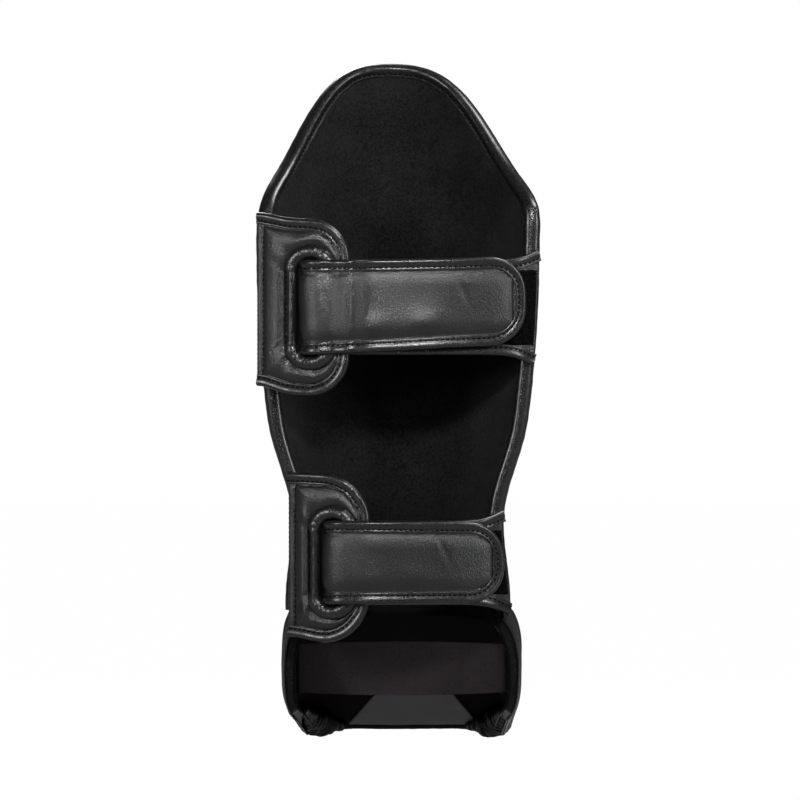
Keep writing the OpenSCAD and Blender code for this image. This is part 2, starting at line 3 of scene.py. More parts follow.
import bmesh
import bpy
import numpy as np
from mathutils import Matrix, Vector, noise


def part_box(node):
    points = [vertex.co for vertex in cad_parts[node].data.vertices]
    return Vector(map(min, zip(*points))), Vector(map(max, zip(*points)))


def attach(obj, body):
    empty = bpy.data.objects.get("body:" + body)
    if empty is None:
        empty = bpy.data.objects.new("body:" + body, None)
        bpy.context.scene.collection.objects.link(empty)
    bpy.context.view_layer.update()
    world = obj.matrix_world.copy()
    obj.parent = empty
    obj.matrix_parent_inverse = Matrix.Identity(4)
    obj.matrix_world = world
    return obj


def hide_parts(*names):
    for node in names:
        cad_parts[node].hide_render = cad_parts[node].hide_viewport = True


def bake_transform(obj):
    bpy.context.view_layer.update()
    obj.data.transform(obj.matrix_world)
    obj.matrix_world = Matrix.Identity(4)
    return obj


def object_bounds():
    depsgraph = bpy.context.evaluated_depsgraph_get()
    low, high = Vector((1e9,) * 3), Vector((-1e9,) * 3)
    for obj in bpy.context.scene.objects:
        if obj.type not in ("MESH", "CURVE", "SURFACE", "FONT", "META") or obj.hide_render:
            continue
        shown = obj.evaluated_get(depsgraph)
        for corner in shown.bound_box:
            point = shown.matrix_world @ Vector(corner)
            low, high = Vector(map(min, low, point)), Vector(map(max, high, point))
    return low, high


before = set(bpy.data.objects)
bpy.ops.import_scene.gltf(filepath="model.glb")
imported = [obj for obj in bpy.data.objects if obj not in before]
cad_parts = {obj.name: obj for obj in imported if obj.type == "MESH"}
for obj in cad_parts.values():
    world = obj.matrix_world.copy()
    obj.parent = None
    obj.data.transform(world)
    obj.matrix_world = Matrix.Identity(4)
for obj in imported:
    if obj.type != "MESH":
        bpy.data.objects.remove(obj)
cad_low, cad_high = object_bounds()


# Shin lining: the brushed textile on the leg side of the shin pad, cut in one piece and
# drawn over soft foam. It is caught under the edge tape, so it swells a little inside it.
def smooth_line(places, values, x):
    places, values = np.asarray(places, float), np.asarray(values, float)
    slopes = np.zeros(len(places))
    slopes[1:-1] = (values[2:] - values[:-2]) / (places[2:] - places[:-2])
    x = np.clip(x, places[0], places[-1])
    i = np.clip(np.searchsorted(places, x, side="right") - 1, 0, len(places) - 2)
    span = places[i + 1] - places[i]
    t = (x - places[i]) / span
    rise = values[i + 1] - values[i]
    bend = slopes[i] * (1 - t) - slopes[i + 1] * t
    return values[i] + rise * t * t * (3 - 2 * t) + span * t * (1 - t) * bend


foot_z, shoulder_z, crown_z = 84, 322, 416
width_z, half_wide = [foot_z, 138, 195, 305], [62, 58, 73, 80]
deep_z, half_deep = [138, 305], [60, 79]
crown_left, pad_x, edge_y = 7, -2, -35


def shin_top(a):
    crown = -math.degrees(math.asin(crown_left / half_wide[-1]))
    t = np.where(a < crown, (crown - a) / (crown + 90), (a - crown) / (90 - crown))
    dome = np.cos(np.radians(90 * np.clip(t, 0, 1) ** 1.43)).clip(0) ** 2.2
    shoulder = 13.5 * np.exp(-((t - 0.93) / 0.25) ** 2)
    shoulder -= np.where(a > 0, 8, 16) * np.exp(-(np.clip(1 - t, 0, 1) / 0.06) ** 1.3)
    return shoulder_z + (crown_z - shoulder_z) * dome + shoulder


def shin_place(a, v, d):
    a, v, d = np.broadcast_arrays(np.asarray(a, float), np.asarray(v, float), np.asarray(d, float))
    z = foot_z + (shin_top(a) - foot_z) * v
    x = (smooth_line(width_z, half_wide, z) + d) * (0.55 * np.sin(np.radians(a)) + 0.45 * a / 90) + pad_x
    y = edge_y + (smooth_line(deep_z, half_deep, z) + d) * np.cos(np.radians(a))
    return np.stack([x, y, z], -1)


def waves(points, length, seed):
    flat = points.reshape(-1, 3) / length + seed
    return np.array([noise.noise(Vector(p)) for p in flat]).reshape(points.shape[:-1])


def put_in_scene(name, data):
    thing = bpy.data.objects.new(name, data)
    bpy.context.scene.collection.objects.link(thing)
    return thing


def mesh_piece(name, points, faces, finish, sharp=50):
    mesh = bpy.data.meshes.new(name)
    mesh.from_pydata((np.asarray(points) * 0.001).tolist(), [], [tuple(f) for f in faces])
    shape = bmesh.new()
    shape.from_mesh(mesh)
    bmesh.ops.recalc_face_normals(shape, faces=shape.faces)
    shape.to_mesh(mesh)
    shape.free()
    mesh.shade_smooth()
    mesh.set_sharp_from_angle(angle=math.radians(sharp))
    mesh.materials.append(finish)
    return put_in_scene(name, mesh)


def sheet_piece(name, face, back, finish, sharp=50):
    rows, cols = face.shape[:2]
    count = rows * cols
    i, j = (m.ravel() for m in np.meshgrid(np.arange(rows - 1), np.arange(cols - 1), indexing="ij"))
    a = i * cols + j
    front = np.stack([a, a + 1, a + cols + 1, a + cols], 1)
    rim = np.concatenate([
        np.arange(cols), np.arange(1, rows) * cols + cols - 1,
        (rows - 1) * cols + np.arange(cols - 2, -1, -1), np.arange(rows - 2, 0, -1) * cols])
    after = np.roll(rim, -1)
    edge = np.stack([rim, rim + count, after + count, after], 1)
    points = np.concatenate([face.reshape(-1, 3), back.reshape(-1, 3)])
    return mesh_piece(name, points, np.concatenate([front, front[:, ::-1] + count, edge]), finish, sharp)


def start_finish(name, looks):
    finish = bpy.data.materials.new(name)
    finish.use_nodes = True
    surface = finish.node_tree.nodes["Principled BSDF"]
    for socket, value in looks.items():
        surface.inputs[socket].default_value = value
    return finish, surface


def add_node(owner, kind, sockets=None, **settings):
    node = owner.node_tree.nodes.new(f"ShaderNode{kind}")
    for setting, value in settings.items():
        setattr(node, setting, value)
    for socket, value in (sockets or {}).items():
        node.inputs[socket].default_value = value
    return node


def add_ramp(owner, low, dark, high, light):
    ramp = add_node(owner, "ValToRGB")
    for stop, position, colour in zip(ramp.color_ramp.elements, (low, high), (dark, light)):
        stop.position, stop.color = position, (*colour, 1)
    return ramp


def join(owner, *pairs):
    for source, target in pairs:
        owner.node_tree.links.new(source, target)


def brushed_finish(name, dark, light, rough, sheen, gleam, nap=0.9):
    finish, surface = start_finish(name, {
        "Sheen Weight": sheen, "Sheen Roughness": 0.45, "Sheen Tint": (0.8, 0.8, 0.82, 1),
        "Specular IOR Level": gleam})
    place = add_node(finish, "TexCoord")
    blotch = add_node(finish, "TexNoise", {"Scale": 28, "Detail": 3})
    fuzz = add_node(finish, "TexNoise", {"Scale": 1000 / nap, "Detail": 4, "Roughness": 0.7})
    shade = add_node(finish, "Math", {1: 0.45}, operation="MULTIPLY_ADD")
    tone = add_ramp(finish, 0.52, dark, 0.9, light)
    dull = add_node(finish, "MapRange", {"To Min": rough - 0.06, "To Max": rough + 0.06})
    bump = add_node(finish, "Bump", {"Strength": 0.35, "Distance": 0.0004})
    join(
        finish, *((place.outputs["Object"], texture.inputs["Vector"]) for texture in (blotch, fuzz)),
        (blotch.outputs["Fac"], shade.inputs[0]), (fuzz.outputs["Fac"], shade.inputs[2]),
        (shade.outputs[0], tone.inputs["Fac"]), (tone.outputs["Color"], surface.inputs["Base Color"]),
        (blotch.outputs["Fac"], dull.inputs["Value"]), (dull.outputs["Result"], surface.inputs["Roughness"]),
        (fuzz.outputs["Fac"], bump.inputs["Height"]), (bump.outputs["Normal"], surface.inputs["Normal"]))
    return finish


brushed_black = brushed_finish(
    "brushed_black", (0.0002, 0.0002, 0.0003), (0.0105, 0.0105, 0.011),
    rough=0.9, sheen=0.033, gleam=0.08, nap=1.5)
shin_a, shin_v = np.meshgrid(np.linspace(-90, 90, 131), np.linspace(0, 1, 151))
lining_thick = 1.1
lining_seat = shin_place(shin_a, shin_v, 0)
pad_tall = shin_top(shin_a) - foot_z
from_side = (90 - np.abs(shin_a)) * 1.25
from_top = (1 - shin_v) * pad_tall
from_foot = shin_v * pad_tall + 3
from_edge = np.minimum(np.minimum(from_side, from_top), from_foot)
swell_in = 2.4 * (1 - np.exp(-(from_edge / 11) ** 2)) - 0.5
swell_in += 0.9 * waves(lining_seat, 38, 3.1) * np.clip(from_edge / 20, 0, 1)
swell_in += 0.25 * waves(lining_seat, 13, 7.7) * np.clip(from_edge / 12, 0, 1)
shin_lining = sheet_piece(
    "shin_lining", shin_place(shin_a, shin_v, -swell_in), shin_place(shin_a, shin_v, lining_thick),
    brushed_black)
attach(shin_lining, "shin")
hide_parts("shin_liner")


# Shin pad: dense and soft foam under a synthetic leather cover, which is sewn down to the
# foam along two upright channels on the front of the shin.
def leather_finish(name, dark, light, rough, grain, depth, gleam=0.5, relief_share=0.4):
    finish, surface = start_finish(name, {"Specular IOR Level": gleam})
    place = add_node(finish, "TexCoord")
    warp = add_node(finish, "TexNoise", {"Scale": 260, "Detail": 2})
    shift = add_node(finish, "VectorMath", {1: (0.0012, 0.0012, 0.0012)}, operation="MULTIPLY_ADD")
    pebble = add_node(finish, "TexVoronoi", {"Scale": 1000 / grain, "Smoothness": 0.35}, feature="SMOOTH_F1")
    fine = add_node(finish, "TexNoise", {"Scale": 2600 / grain, "Detail": 3})
    small = add_node(finish, "Math", {1: 0.3}, operation="MULTIPLY")
    relief = add_node(finish, "Math", {1: -1.0}, operation="MULTIPLY_ADD")
    bump = add_node(finish, "Bump", {"Strength": relief_share, "Distance": depth})
    cloud = add_node(finish, "TexNoise", {"Scale": 45, "Detail": 4})
    tone = add_ramp(finish, 0.3, dark, 0.72, light)
    gloss = add_node(finish, "MapRange", {
        "From Min": 0.1, "From Max": 0.6, "To Min": rough - 0.05, "To Max": rough + 0.1})
    join(
        finish, *((place.outputs["Object"], texture.inputs["Vector"]) for texture in (warp, fine, cloud)),
        (warp.outputs["Color"], shift.inputs[0]), (place.outputs["Object"], shift.inputs[2]),
        (shift.outputs[0], pebble.inputs["Vector"]), (fine.outputs["Fac"], small.inputs[0]),
        (pebble.outputs["Distance"], relief.inputs[0]), (small.outputs[0], relief.inputs[2]),
        (relief.outputs[0], bump.inputs["Height"]), (bump.outputs["Normal"], surface.inputs["Normal"]),
        (cloud.outputs["Fac"], tone.inputs["Fac"]), (tone.outputs["Color"], surface.inputs["Base Color"]),
        (pebble.outputs["Distance"], gloss.inputs["Value"]),
        (gloss.outputs["Result"], surface.inputs["Roughness"]))
    return finish


pad_edge, channel_a, soft_rise, dense_rise = 6.4, 27, 4, 14


def shin_swell(a, v):
    return np.cos(np.radians(a)).clip(0) ** 1.2 * np.sqrt(np.sin(np.pi * np.clip(v, 0, 1)).clip(0))


def shin_skin(a, v):
    swell = shin_swell(a, v)
    drawn = 0.34 * np.exp(-((np.abs(a) - channel_a) / 5) ** 2)
    sewn = 1.8 * np.exp(-((np.abs(a) - channel_a) / 0.9) ** 2)
    foam = soft_rise * swell + dense_rise * swell * (1 - drawn)
    return pad_edge + foam - sewn * np.clip(swell * 3, 0, 1)


shin_leather = leather_finish(
    "shin_leather", (0.0032, 0.0032, 0.0034), (0.0055, 0.0055, 0.0058), rough=0.38, grain=1.2, depth=0.0008)
pad_skin = shin_skin(shin_a, shin_v)
pad_seat = shin_place(shin_a, shin_v, pad_skin)
pad_skin += 0.5 * waves(pad_seat, 45, 1.3) * np.clip(from_edge / 25, 0, 1)
pad_skin += 0.12 * waves(pad_seat, 9, 5.9) * np.clip(from_edge / 10, 0, 1)
shin_pad = sheet_piece(
    "shin_pad", shin_place(shin_a, shin_v, pad_skin), shin_place(shin_a, shin_v, lining_thick + 0.1),
    shin_leather, 70)
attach(shin_pad, "shin")
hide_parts("shin_comfort_foam", "shin_impact_foam", "shin_cover")


# Shin edge tape: a strip of soft leather folded over the pad's raw edge up one side, over
# the dome and down the other, and sewn through with one row of black thread. The same
# thread sews down the pad's two channels.
def unit(vectors):
    return vectors / np.maximum(np.linalg.norm(vectors, axis=-1, keepdims=True), 1e-9)


def along_line(line):
    return np.concatenate([[0], np.cumsum(np.linalg.norm(np.diff(line, axis=0), axis=1))])


def respace(step, line, *others):
    length = along_line(line)
    spots = np.linspace(0, length[-1], max(8, int(length[-1] / step)) + 1)
    return [np.stack([np.interp(spots, length, a[:, k]) for k in range(3)], 1) for a in (line, *others)]


def soften(rounds, *lines):
    for line in lines:
        for _ in range(rounds):
            line[1:-1] = (line[:-2] + 2 * line[1:-1] + line[2:]) / 4
    return lines


def swept_piece(name, rings, finish, closed=False, sharp=50):
    n, m = rings.shape[:2]
    i, j = (g.ravel() for g in np.meshgrid(np.arange(n if closed else n - 1), np.arange(m), indexing="ij"))
    ahead, beside = (i + 1) % n, (j + 1) % m
    faces = np.stack([i * m + j, i * m + beside, ahead * m + beside, ahead * m + j], 1).tolist()
    if not closed:
        faces += [list(range(m)), list(range((n - 1) * m, n * m))]
    return mesh_piece(name, rings.reshape(-1, 3), faces, finish, sharp)


def tape_section(half, wide, bead, proud):
    turn = np.radians(np.linspace(-90, 90, 13))
    curl = [(bead / 2 - bead * math.cos(t), math.sin(t) * (half + proud)) for t in turn]
    flange = [(0.42 * wide, half + 0.8 * proud), (0.58 * wide, half + 0.3 * proud), (0.7 * wide, half),
              (0.8 * wide, half + 0.35 * proud), (0.9 * wide, half + 0.5 * proud), (wide, half + 0.1)]
    inside = [(0.9 * wide, half - 0.5), (bead, half - 0.5)]
    upper = flange + inside
    return np.array(curl + upper + [(w, -u) for w, u in reversed(upper)])


def tape_rings(middle, inward, across, section, ripple, seed):
    fat = 1 + ripple * waves(middle, 5.0, seed)[:, None, None]
    return middle[:, None] + fat * (
        inward[:, None] * section[None, :, :1] + across[:, None] * section[None, :, 1:])


def stitch_piece(name, runs, finish, pitch=3.3, length=2.35, thick=0.42):
    points, faces = [], []
    shape = [(-0.5, 0.15, -0.5), (-0.36, 0.85, -0.05), (0, 1.0, 0.12), (0.36, 0.85, -0.05), (0.5, 0.15, -0.5)]
    turn = np.radians(np.arange(6) * 60)
    for line, up in runs:
        reach = along_line(line)
        for s in np.arange(pitch / 2, reach[-1], pitch):
            here, top, ahead, behind = (
                np.array([np.interp(q, reach, a[:, k]) for k in range(3)])
                for q, a in ((s, line), (s, up), (s + 0.5, line), (s - 0.5, line)))
            run = unit(ahead - behind)
            top = unit(top - run * (top @ run))
            side = np.cross(run, top)
            base = len(points)
            for place, size, lift in shape:
                centre = here + run * place * length + top * lift * thick
                points += [
                    centre + (side * math.cos(t) * 1.1 + top * math.sin(t)) * size * thick for t in turn]
            for r in range(len(shape) - 1):
                faces += [[base + r * 6 + k, base + r * 6 + (k + 1) % 6,
                           base + r * 6 + 6 + (k + 1) % 6, base + r * 6 + 6 + k] for k in range(6)]
            last = base + 6 * (len(shape) - 1)
            faces += [[base + k for k in range(6)], [last + k for k in range(6)]]
    return mesh_piece(name, points, faces, finish)


def thread_finish(name, colour):
    finish, surface = start_finish(name, {"Roughness": 0.8, "Specular IOR Level": 0.1})
    place = add_node(finish, "TexCoord")
    twist = add_node(finish, "TexNoise", {"Scale": 3000})
    tone = add_ramp(finish, 0.0, [c * 0.5 for c in colour], 1.0, [c * 1.6 for c in colour])
    bump = add_node(finish, "Bump", {"Strength": 0.5, "Distance": 0.0002})
    join(
        finish, (place.outputs["Object"], twist.inputs["Vector"]),
        (twist.outputs["Fac"], tone.inputs["Fac"]), (tone.outputs["Color"], surface.inputs["Base Color"]),
        (twist.outputs["Fac"], bump.inputs["Height"]), (bump.outputs["Normal"], surface.inputs["Normal"]))
    return finish


tape_leather = leather_finish(
    "tape_leather", (0.0032, 0.0032, 0.0034), (0.0055, 0.0055, 0.0058),
    rough=0.24, grain=0.9, depth=0.0001, relief_share=0.2)
black_thread = thread_finish("black_thread", (0.0012, 0.0012, 0.0013))
up_side, over = np.linspace(-0.028, 1, 170), np.linspace(-90, 90, 260)[1:-1]
edge_a = np.concatenate([np.full_like(up_side, -90), over, np.full_like(up_side, 90)])
edge_v = np.concatenate([up_side, np.ones_like(over), up_side[::-1]])
edge_in, edge_out = respace(1.6, shin_place(edge_a, edge_v, 0), shin_place(edge_a, edge_v, pad_edge))
soften(24, edge_in, edge_out)
edge_middle = (edge_in + edge_out) / 2
edge_run = unit(np.gradient(edge_middle, axis=0))
edge_across = unit(edge_out - edge_in)
edge_inward = unit(np.cross(edge_across, edge_run))
shin_section = tape_section(half=3.4, wide=6.7, bead=3.4, proud=1.5)
lean_in = np.radians(12 * np.clip((320 - edge_middle[:, 2:]) / 25, 0, 1) * (edge_middle[:, :1] > 0))
edge_inward, edge_across = (
    edge_inward * np.cos(lean_in) - edge_across * np.sin(lean_in),
    edge_across * np.cos(lean_in) + edge_inward * np.sin(lean_in))
shin_tape = swept_piece(
    "shin_tape", tape_rings(edge_middle, edge_inward, edge_across, shin_section, 0.05, 2.2), tape_leather)
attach(shin_tape, "shin")
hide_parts("shin_binding")
stitch_row, stitch_rise = edge_middle + edge_inward * 4.7, edge_across * 3.75
shin_runs = [(stitch_row - stitch_rise, -edge_across), (stitch_row + stitch_rise, edge_across)]
channel_v = np.linspace(0.05, 0.96, 160)
for side in (-1, 1):
    channel = shin_place(side * channel_a, channel_v, shin_skin(side * channel_a, channel_v) + 0.2)
    shin_runs.append((channel, np.tile(unit(np.array([side * 0.45, 0.9, 0.0])), (len(channel_v), 1))))
shin_stitches = stitch_piece("shin_stitches", shin_runs, black_thread)
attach(shin_stitches, "shin")


# Strap bases: two straps of doubled leather, sewn to the pad's right edge and taped along
# both sides. Loop pile covers the middle, for the hooks of the strap's own tail.
past_pad, sag, back_y, slot_to_fold = 8, 20, -57.9, 8.75


class Closure:
    def __init__(self, word, flap, reach, corner, lift_top, lift_low, slot_wide, slot_in,
                 strap_z, strap_wide, tip_rise, tip_in):
        self.word, self.corner, self.lift_top, self.lift_low = word, corner, lift_top, lift_low
        self.low, self.high = flap
        self.left = pad_x - smooth_line(width_z, half_wide, (self.low + self.high) / 2) - past_pad
        self.right = pad_x + smooth_line(width_z, half_wide, strap_z) + past_pad
        self.slot_wide, self.slot_left = slot_wide, self.left + slot_in
        self.strap_z, self.strap_half, self.tip_rise = strap_z, strap_wide / 2, tip_rise
        self.middle, half = (self.left + self.right) / 2, (self.right - self.left) / 2
        self.radius = (half * half + sag * sag) / (2 * sag)
        self.centre_y = back_y + self.radius
        self.fold = self.slot_left + slot_to_fold
        self.tip = self.right - tip_in
        self.flap_end = self.left + reach

    def place(self, x, z, r):
        x, z, r = np.broadcast_arrays(np.asarray(x, float), np.asarray(z, float), np.asarray(r, float))
        y = self.centre_y - np.sqrt((self.radius + r) ** 2 - (x - self.middle) ** 2)
        return np.stack([x, y, z], -1)

    def outward(self, points):
        from_centre = points - np.array([self.middle, self.centre_y, 0])
        from_centre[..., 2] = 0
        return unit(from_centre)

    def base_half(self, share):
        from_end = (1 - share) * (self.right - self.fold)
        return self.strap_half + 6.5 * np.exp(-(from_end / 10) ** 1.3)

    def sewn(self, share):
        return 2.2 * np.exp(-((1 - share) * (self.right - self.fold) / 7) ** 2)

    def base_x(self, share, z):
        end_x = smooth_line(width_z, half_wide, z) + 4.6
        return self.fold + (end_x - self.fold) * share


upper = Closure(
    "upper", flap=(211, 319), reach=56, corner=24, lift_top=4.0, lift_low=6.5, slot_wide=18, slot_in=24,
    strap_z=265, strap_wide=57, tip_rise=4.5, tip_in=9)
lower = Closure(
    "lower", flap=(58, 161), reach=49, corner=29, lift_top=1.0, lift_low=4.0, slot_wide=16, slot_in=19,
    strap_z=107, strap_wide=50, tip_rise=0.0, tip_in=3)


def pile_finish(name, colour, size, depth):
    finish, surface = start_finish(name, {"Roughness": 0.9, "Specular IOR Level": 0.04, "Sheen Weight": 0.01})
    place = add_node(finish, "TexCoord")
    tuft = add_node(finish, "TexVoronoi", {"Scale": 1000 / size})
    curl = add_node(finish, "TexNoise", {"Scale": 1800 / size, "Detail": 4})
    mixed = add_node(finish, "Math", operation="SUBTRACT")
    tone = add_ramp(finish, 0.0, [c * 0.25 for c in colour], 0.5, [c * 2.2 for c in colour])
    bump = add_node(finish, "Bump", {"Strength": 0.9, "Distance": depth})
    join(
        finish, *((place.outputs["Object"], texture.inputs["Vector"]) for texture in (tuft, curl)),
        (curl.outputs["Fac"], mixed.inputs[0]), (tuft.outputs["Distance"], mixed.inputs[1]),
        (mixed.outputs[0], tone.inputs["Fac"]), (tone.outputs["Color"], surface.inputs["Base Color"]),
        (mixed.outputs[0], bump.inputs["Height"]), (bump.outputs["Normal"], surface.inputs["Normal"]))
    return finish


strap_leather = leather_finish(
    "strap_leather", (0.003, 0.003, 0.0032), (0.0052, 0.0052, 0.0055),
    rough=0.29, grain=0.95, depth=0.0005, relief_share=0.38)
loop_pile = pile_finish("loop_pile", (0.0006, 0.0006, 0.0007), size=1.1, depth=0.0012)
thin_section = tape_section(half=1.1, wide=6.3, bead=1.9, proud=0.95)
base_thick, pile_in, base_row, base_rise = 1.8, 5.2, 4.4, 1.4
for c in (upper, lower):
    share, t = np.meshgrid(np.linspace(0, 1, 110), np.linspace(-1, 1, 31), indexing="ij")
    z = c.strap_z + t * c.base_half(share)
    x = c.base_x(share, z)
    sunk = c.sewn(share)
    base = sheet_piece(
        f"{c.word}_strap_base_leather", c.place(x, z, base_thick - sunk), c.place(x, z, -sunk), strap_leather)
    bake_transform(base)
    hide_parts(f"{c.word}_strap_base")

    runs, rings = [], []
    for side in (-1, 1):
        line = np.linspace(0, 1, 90)
        edge_z = c.strap_z + side * c.base_half(line)
        edge, = respace(1.6, c.place(c.base_x(line, edge_z), edge_z, base_thick / 2 - c.sewn(line)))
        out = c.outward(edge)
        run = unit(np.gradient(edge, axis=0))
        inward = unit(np.cross(out, run))
        inward *= -side * np.sign(inward[:, 2:3])
        rings.append(tape_rings(edge, inward, out, thin_section, 0.05, 4.4 + side))
        runs.append((edge + inward * base_row + out * base_rise, out))
    for k, side in enumerate(("low", "top")):
        tape = swept_piece(f"{c.word}_base_tape_{side}", rings[k], tape_leather)
        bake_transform(tape)
        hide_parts(f"{c.word}_base_binding")
    thread = stitch_piece(f"{c.word}_base_stitches", runs, black_thread)
    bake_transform(thread)

    pile_half, pile_end = c.strap_half - pile_in, 0.997
    share, z = np.meshgrid(
        np.linspace(0.05, pile_end, 260), c.strap_z + np.linspace(-1, 1, 84) * pile_half, indexing="ij")
    x = c.base_x(share, z)
    flat = c.place(x, z, 0)
    tuft = 0.45 * waves(flat, 1.7, 0.4) + 0.3 * waves(flat, 0.8, 9.1)
    fade = np.clip(np.minimum(pile_half - np.abs(z - c.strap_z), (pile_end - share) * 140) / 1.2, 0, 1)
    pile = sheet_piece(f"{c.word}_loop_pile", c.place(x, z, 2.2 + (0.7 + tuft) * fade - c.sewn(share)),
                       c.place(x, z, 1.7 - c.sewn(share)), loop_pile, 180)
    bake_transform(pile)
    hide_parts(f"{c.word}_loop_panel")


# Left flaps: leather over thin foam with a lining on the leg side, piped and sewn to the
# pad's left edge. The free edges are taped, and the strap's slot has a rolled leather rim.
def star_radius(outline, centre, angles):
    away = outline - centre
    turn = np.arctan2(away[:, 1], away[:, 0])
    order = np.argsort(turn)
    return np.interp(angles, turn[order], np.linalg.norm(away[order], axis=1), period=2 * np.pi)


def rounded_path(x0, z0, x1, z1, r, step=0.35):
    corner = np.radians(np.linspace(0, 90, 40))
    path = [(x0, z0)]
    path += [(x1 - r + r * math.sin(t), z0 + r - r * math.cos(t)) for t in corner]
    path += [(x1 - r + r * math.cos(t), z1 - r + r * math.sin(t)) for t in corner]
    path += [(x0, z1)]
    path = np.array([(px, 0, pz) for px, pz in path])
    line, = respace(step, path)
    return line[:, [0, 2]]


def slot_path(x0, z0, x1, z1, r, step=0.35):
    turn = np.radians(np.linspace(0, 90, 24))
    path = []
    corners = (x1 - r, z1 - r, 0), (x0 + r, z1 - r, 90), (x0 + r, z0 + r, 180), (x1 - r, z0 + r, 270)
    for cx, cz, start in corners:
        path += [(cx + r * math.cos(t), 0, cz + r * math.sin(t)) for t in turn + math.radians(start)]
    line, = respace(step, np.array(path + path[:1]))
    return line[:-1, [0, 2]]


def nearest(points, line):
    flat = points.reshape(-1, 2)
    return np.concatenate([
        np.sqrt(((chunk[:, None] - line[None]) ** 2).sum(-1).min(1))
        for chunk in np.array_split(flat, 24)]).reshape(points.shape[:-1])


rim_leather = leather_finish(
    "rim_leather", (0.0034, 0.0034, 0.0036), (0.006, 0.006, 0.0063),
    rough=0.24, grain=0.8, depth=0.0001, relief_share=0.25)
flap_section = tape_section(half=1.75, wide=6.2, bead=2.2, proud=1.0)
flap_core, flap_skin, flap_row, flap_rise = 5.85, 7.4, 4.35, 2.05
rim_row, rim_tuck, free_row, seam_row = 6.3, 6.4, 6.6, 3.4
rim_roll = np.array([
    (5.7, 1.2), (5.4, 2.7), (4.5, 4.3), (3.2, 5.2), (1.7, 5.3), (0.4, 4.6), (-0.5, 3.1), (-0.9, 1.2),
    (-0.9, -1.0), (-0.4, -2.2), (0.8, -2.7), (2.6, -2.5), (4.3, -2.1), (4.4, -1.6), (0.9, -1.5),
    (0.8, 0.4), (4.6, 0.8)])
for c in (upper, lower):
    free = rounded_path(c.left, c.low, c.flap_end, c.high, c.corner)
    lift = np.where(free[:, 1] > c.strap_z, c.lift_top, c.lift_low)
    free[:, 1] += lift * np.exp(-((free[:, 0] - c.left) / 15) ** 2)
    seam_z = np.linspace(free[-1, 1], free[0, 1], 242)[1:-1]
    around = np.concatenate([free, np.stack([np.full(len(seam_z), c.left), seam_z], 1)])
    slot_half = c.strap_half + 2.5
    slot = slot_path(
        c.slot_left, c.strap_z - slot_half, c.slot_left + c.slot_wide, c.strap_z + slot_half,
        c.slot_wide * 0.46)
    heart = np.array([c.slot_left + c.slot_wide / 2, c.strap_z])
    heart_at, level = np.array([heart[0], 0, heart[1]]), np.array([1, 0, 1])
    angles, share = np.linspace(-np.pi, np.pi, 481), np.linspace(0, 1, 34)
    slot_r, around_r = star_radius(slot, heart, angles)[:, None], star_radius(around, heart, angles)[:, None]
    radius = slot_r * (1 - share) + around_r * share
    flat = heart + radius[..., None] * np.stack([np.cos(angles), np.sin(angles)], -1)[:, None]
    from_slot, from_free = nearest(flat, slot), nearest(flat, free)
    from_sewn = flat[..., 0] - c.left
    room = np.minimum(np.minimum(from_slot - 6.2, from_free - 6.4), from_sewn - 3.2)
    plump = 2.3 * (1 - (1 - np.clip(room / 9, 0, 1)) ** 2)
    plump -= 0.9 * np.exp(-((from_slot - rim_tuck) / 0.8) ** 2)
    plump -= 0.6 * np.exp(-((from_free - free_row) / 0.7) ** 2)
    plump -= 0.7 * np.exp(-((from_sewn - seam_row) / 0.8) ** 2)
    ends = np.clip((np.abs(flat[..., 1] - c.strap_z) - slot_half + 10) / 12, 0, 1)
    drawn = np.exp(-((from_slot - 9) / 6) ** 2) * ends
    fold_beat = np.abs(np.sin(angles * 9 + 2.0 * np.sin(angles * 2.3)))[:, None] ** 2
    plump += (1.5 * fold_beat - 0.6) * drawn
    skin = c.place(flat[..., 0], flat[..., 1], 0)
    plump += 0.35 * waves(skin, 15, 2.6) * np.clip(from_slot / 15, 0, 1) + 0.15 * waves(skin, 5, 8.3) * drawn
    spokes, steps = len(angles) - 1, len(share)
    far = spokes * steps
    k, s = (m.ravel() for m in np.meshgrid(np.arange(spokes), np.arange(steps - 1), indexing="ij"))
    beside = (k + 1) % spokes
    quads = np.stack([k * steps + s, beside * steps + s, beside * steps + s + 1, k * steps + s + 1], 1)
    start = np.arange(spokes) * steps
    wall = np.stack([start, start + far, np.roll(start, -1) + far, np.roll(start, -1)], 1)
    flap_faces = np.concatenate([quads, quads[:, ::-1] + far, wall, wall + steps - 1])

    def flap_layer(name, front_r, back_r, finish):
        points = [c.place(flat[:-1, :, 0], flat[:-1, :, 1], r).reshape(-1, 3) for r in (front_r, back_r)]
        return mesh_piece(name, np.concatenate(points), flap_faces, finish, 70)

    face = flap_layer(f"{c.word}_flap_leather", flap_skin + plump[:-1], 5.2, strap_leather)
    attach(face, f"{c.word}_flap")
    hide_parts(f"{c.word}_flap_face", f"{c.word}_flap_foam")
    lining = flap_layer(f"{c.word}_flap_lining", 5.1, 4.2 + 0.3 * waves(skin[:-1], 8, 1.7), brushed_black)
    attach(lining, f"{c.word}_flap")
    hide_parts(f"{c.word}_flap_backing")

    edge, = respace(1.4, c.place(free[:, 0], free[:, 1], flap_core))
    soften(2, edge)
    out = c.outward(edge)
    run = unit(np.gradient(edge, axis=0))
    inward = unit(np.cross(out, run))
    inward *= np.sign((inward * (heart_at - edge) * level).sum(1, keepdims=True))
    tape = swept_piece(
        f"{c.word}_flap_tape", tape_rings(edge, inward, out, flap_section, 0.07, 6.1), tape_leather)
    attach(tape, f"{c.word}_flap")
    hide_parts(f"{c.word}_flap_binding")

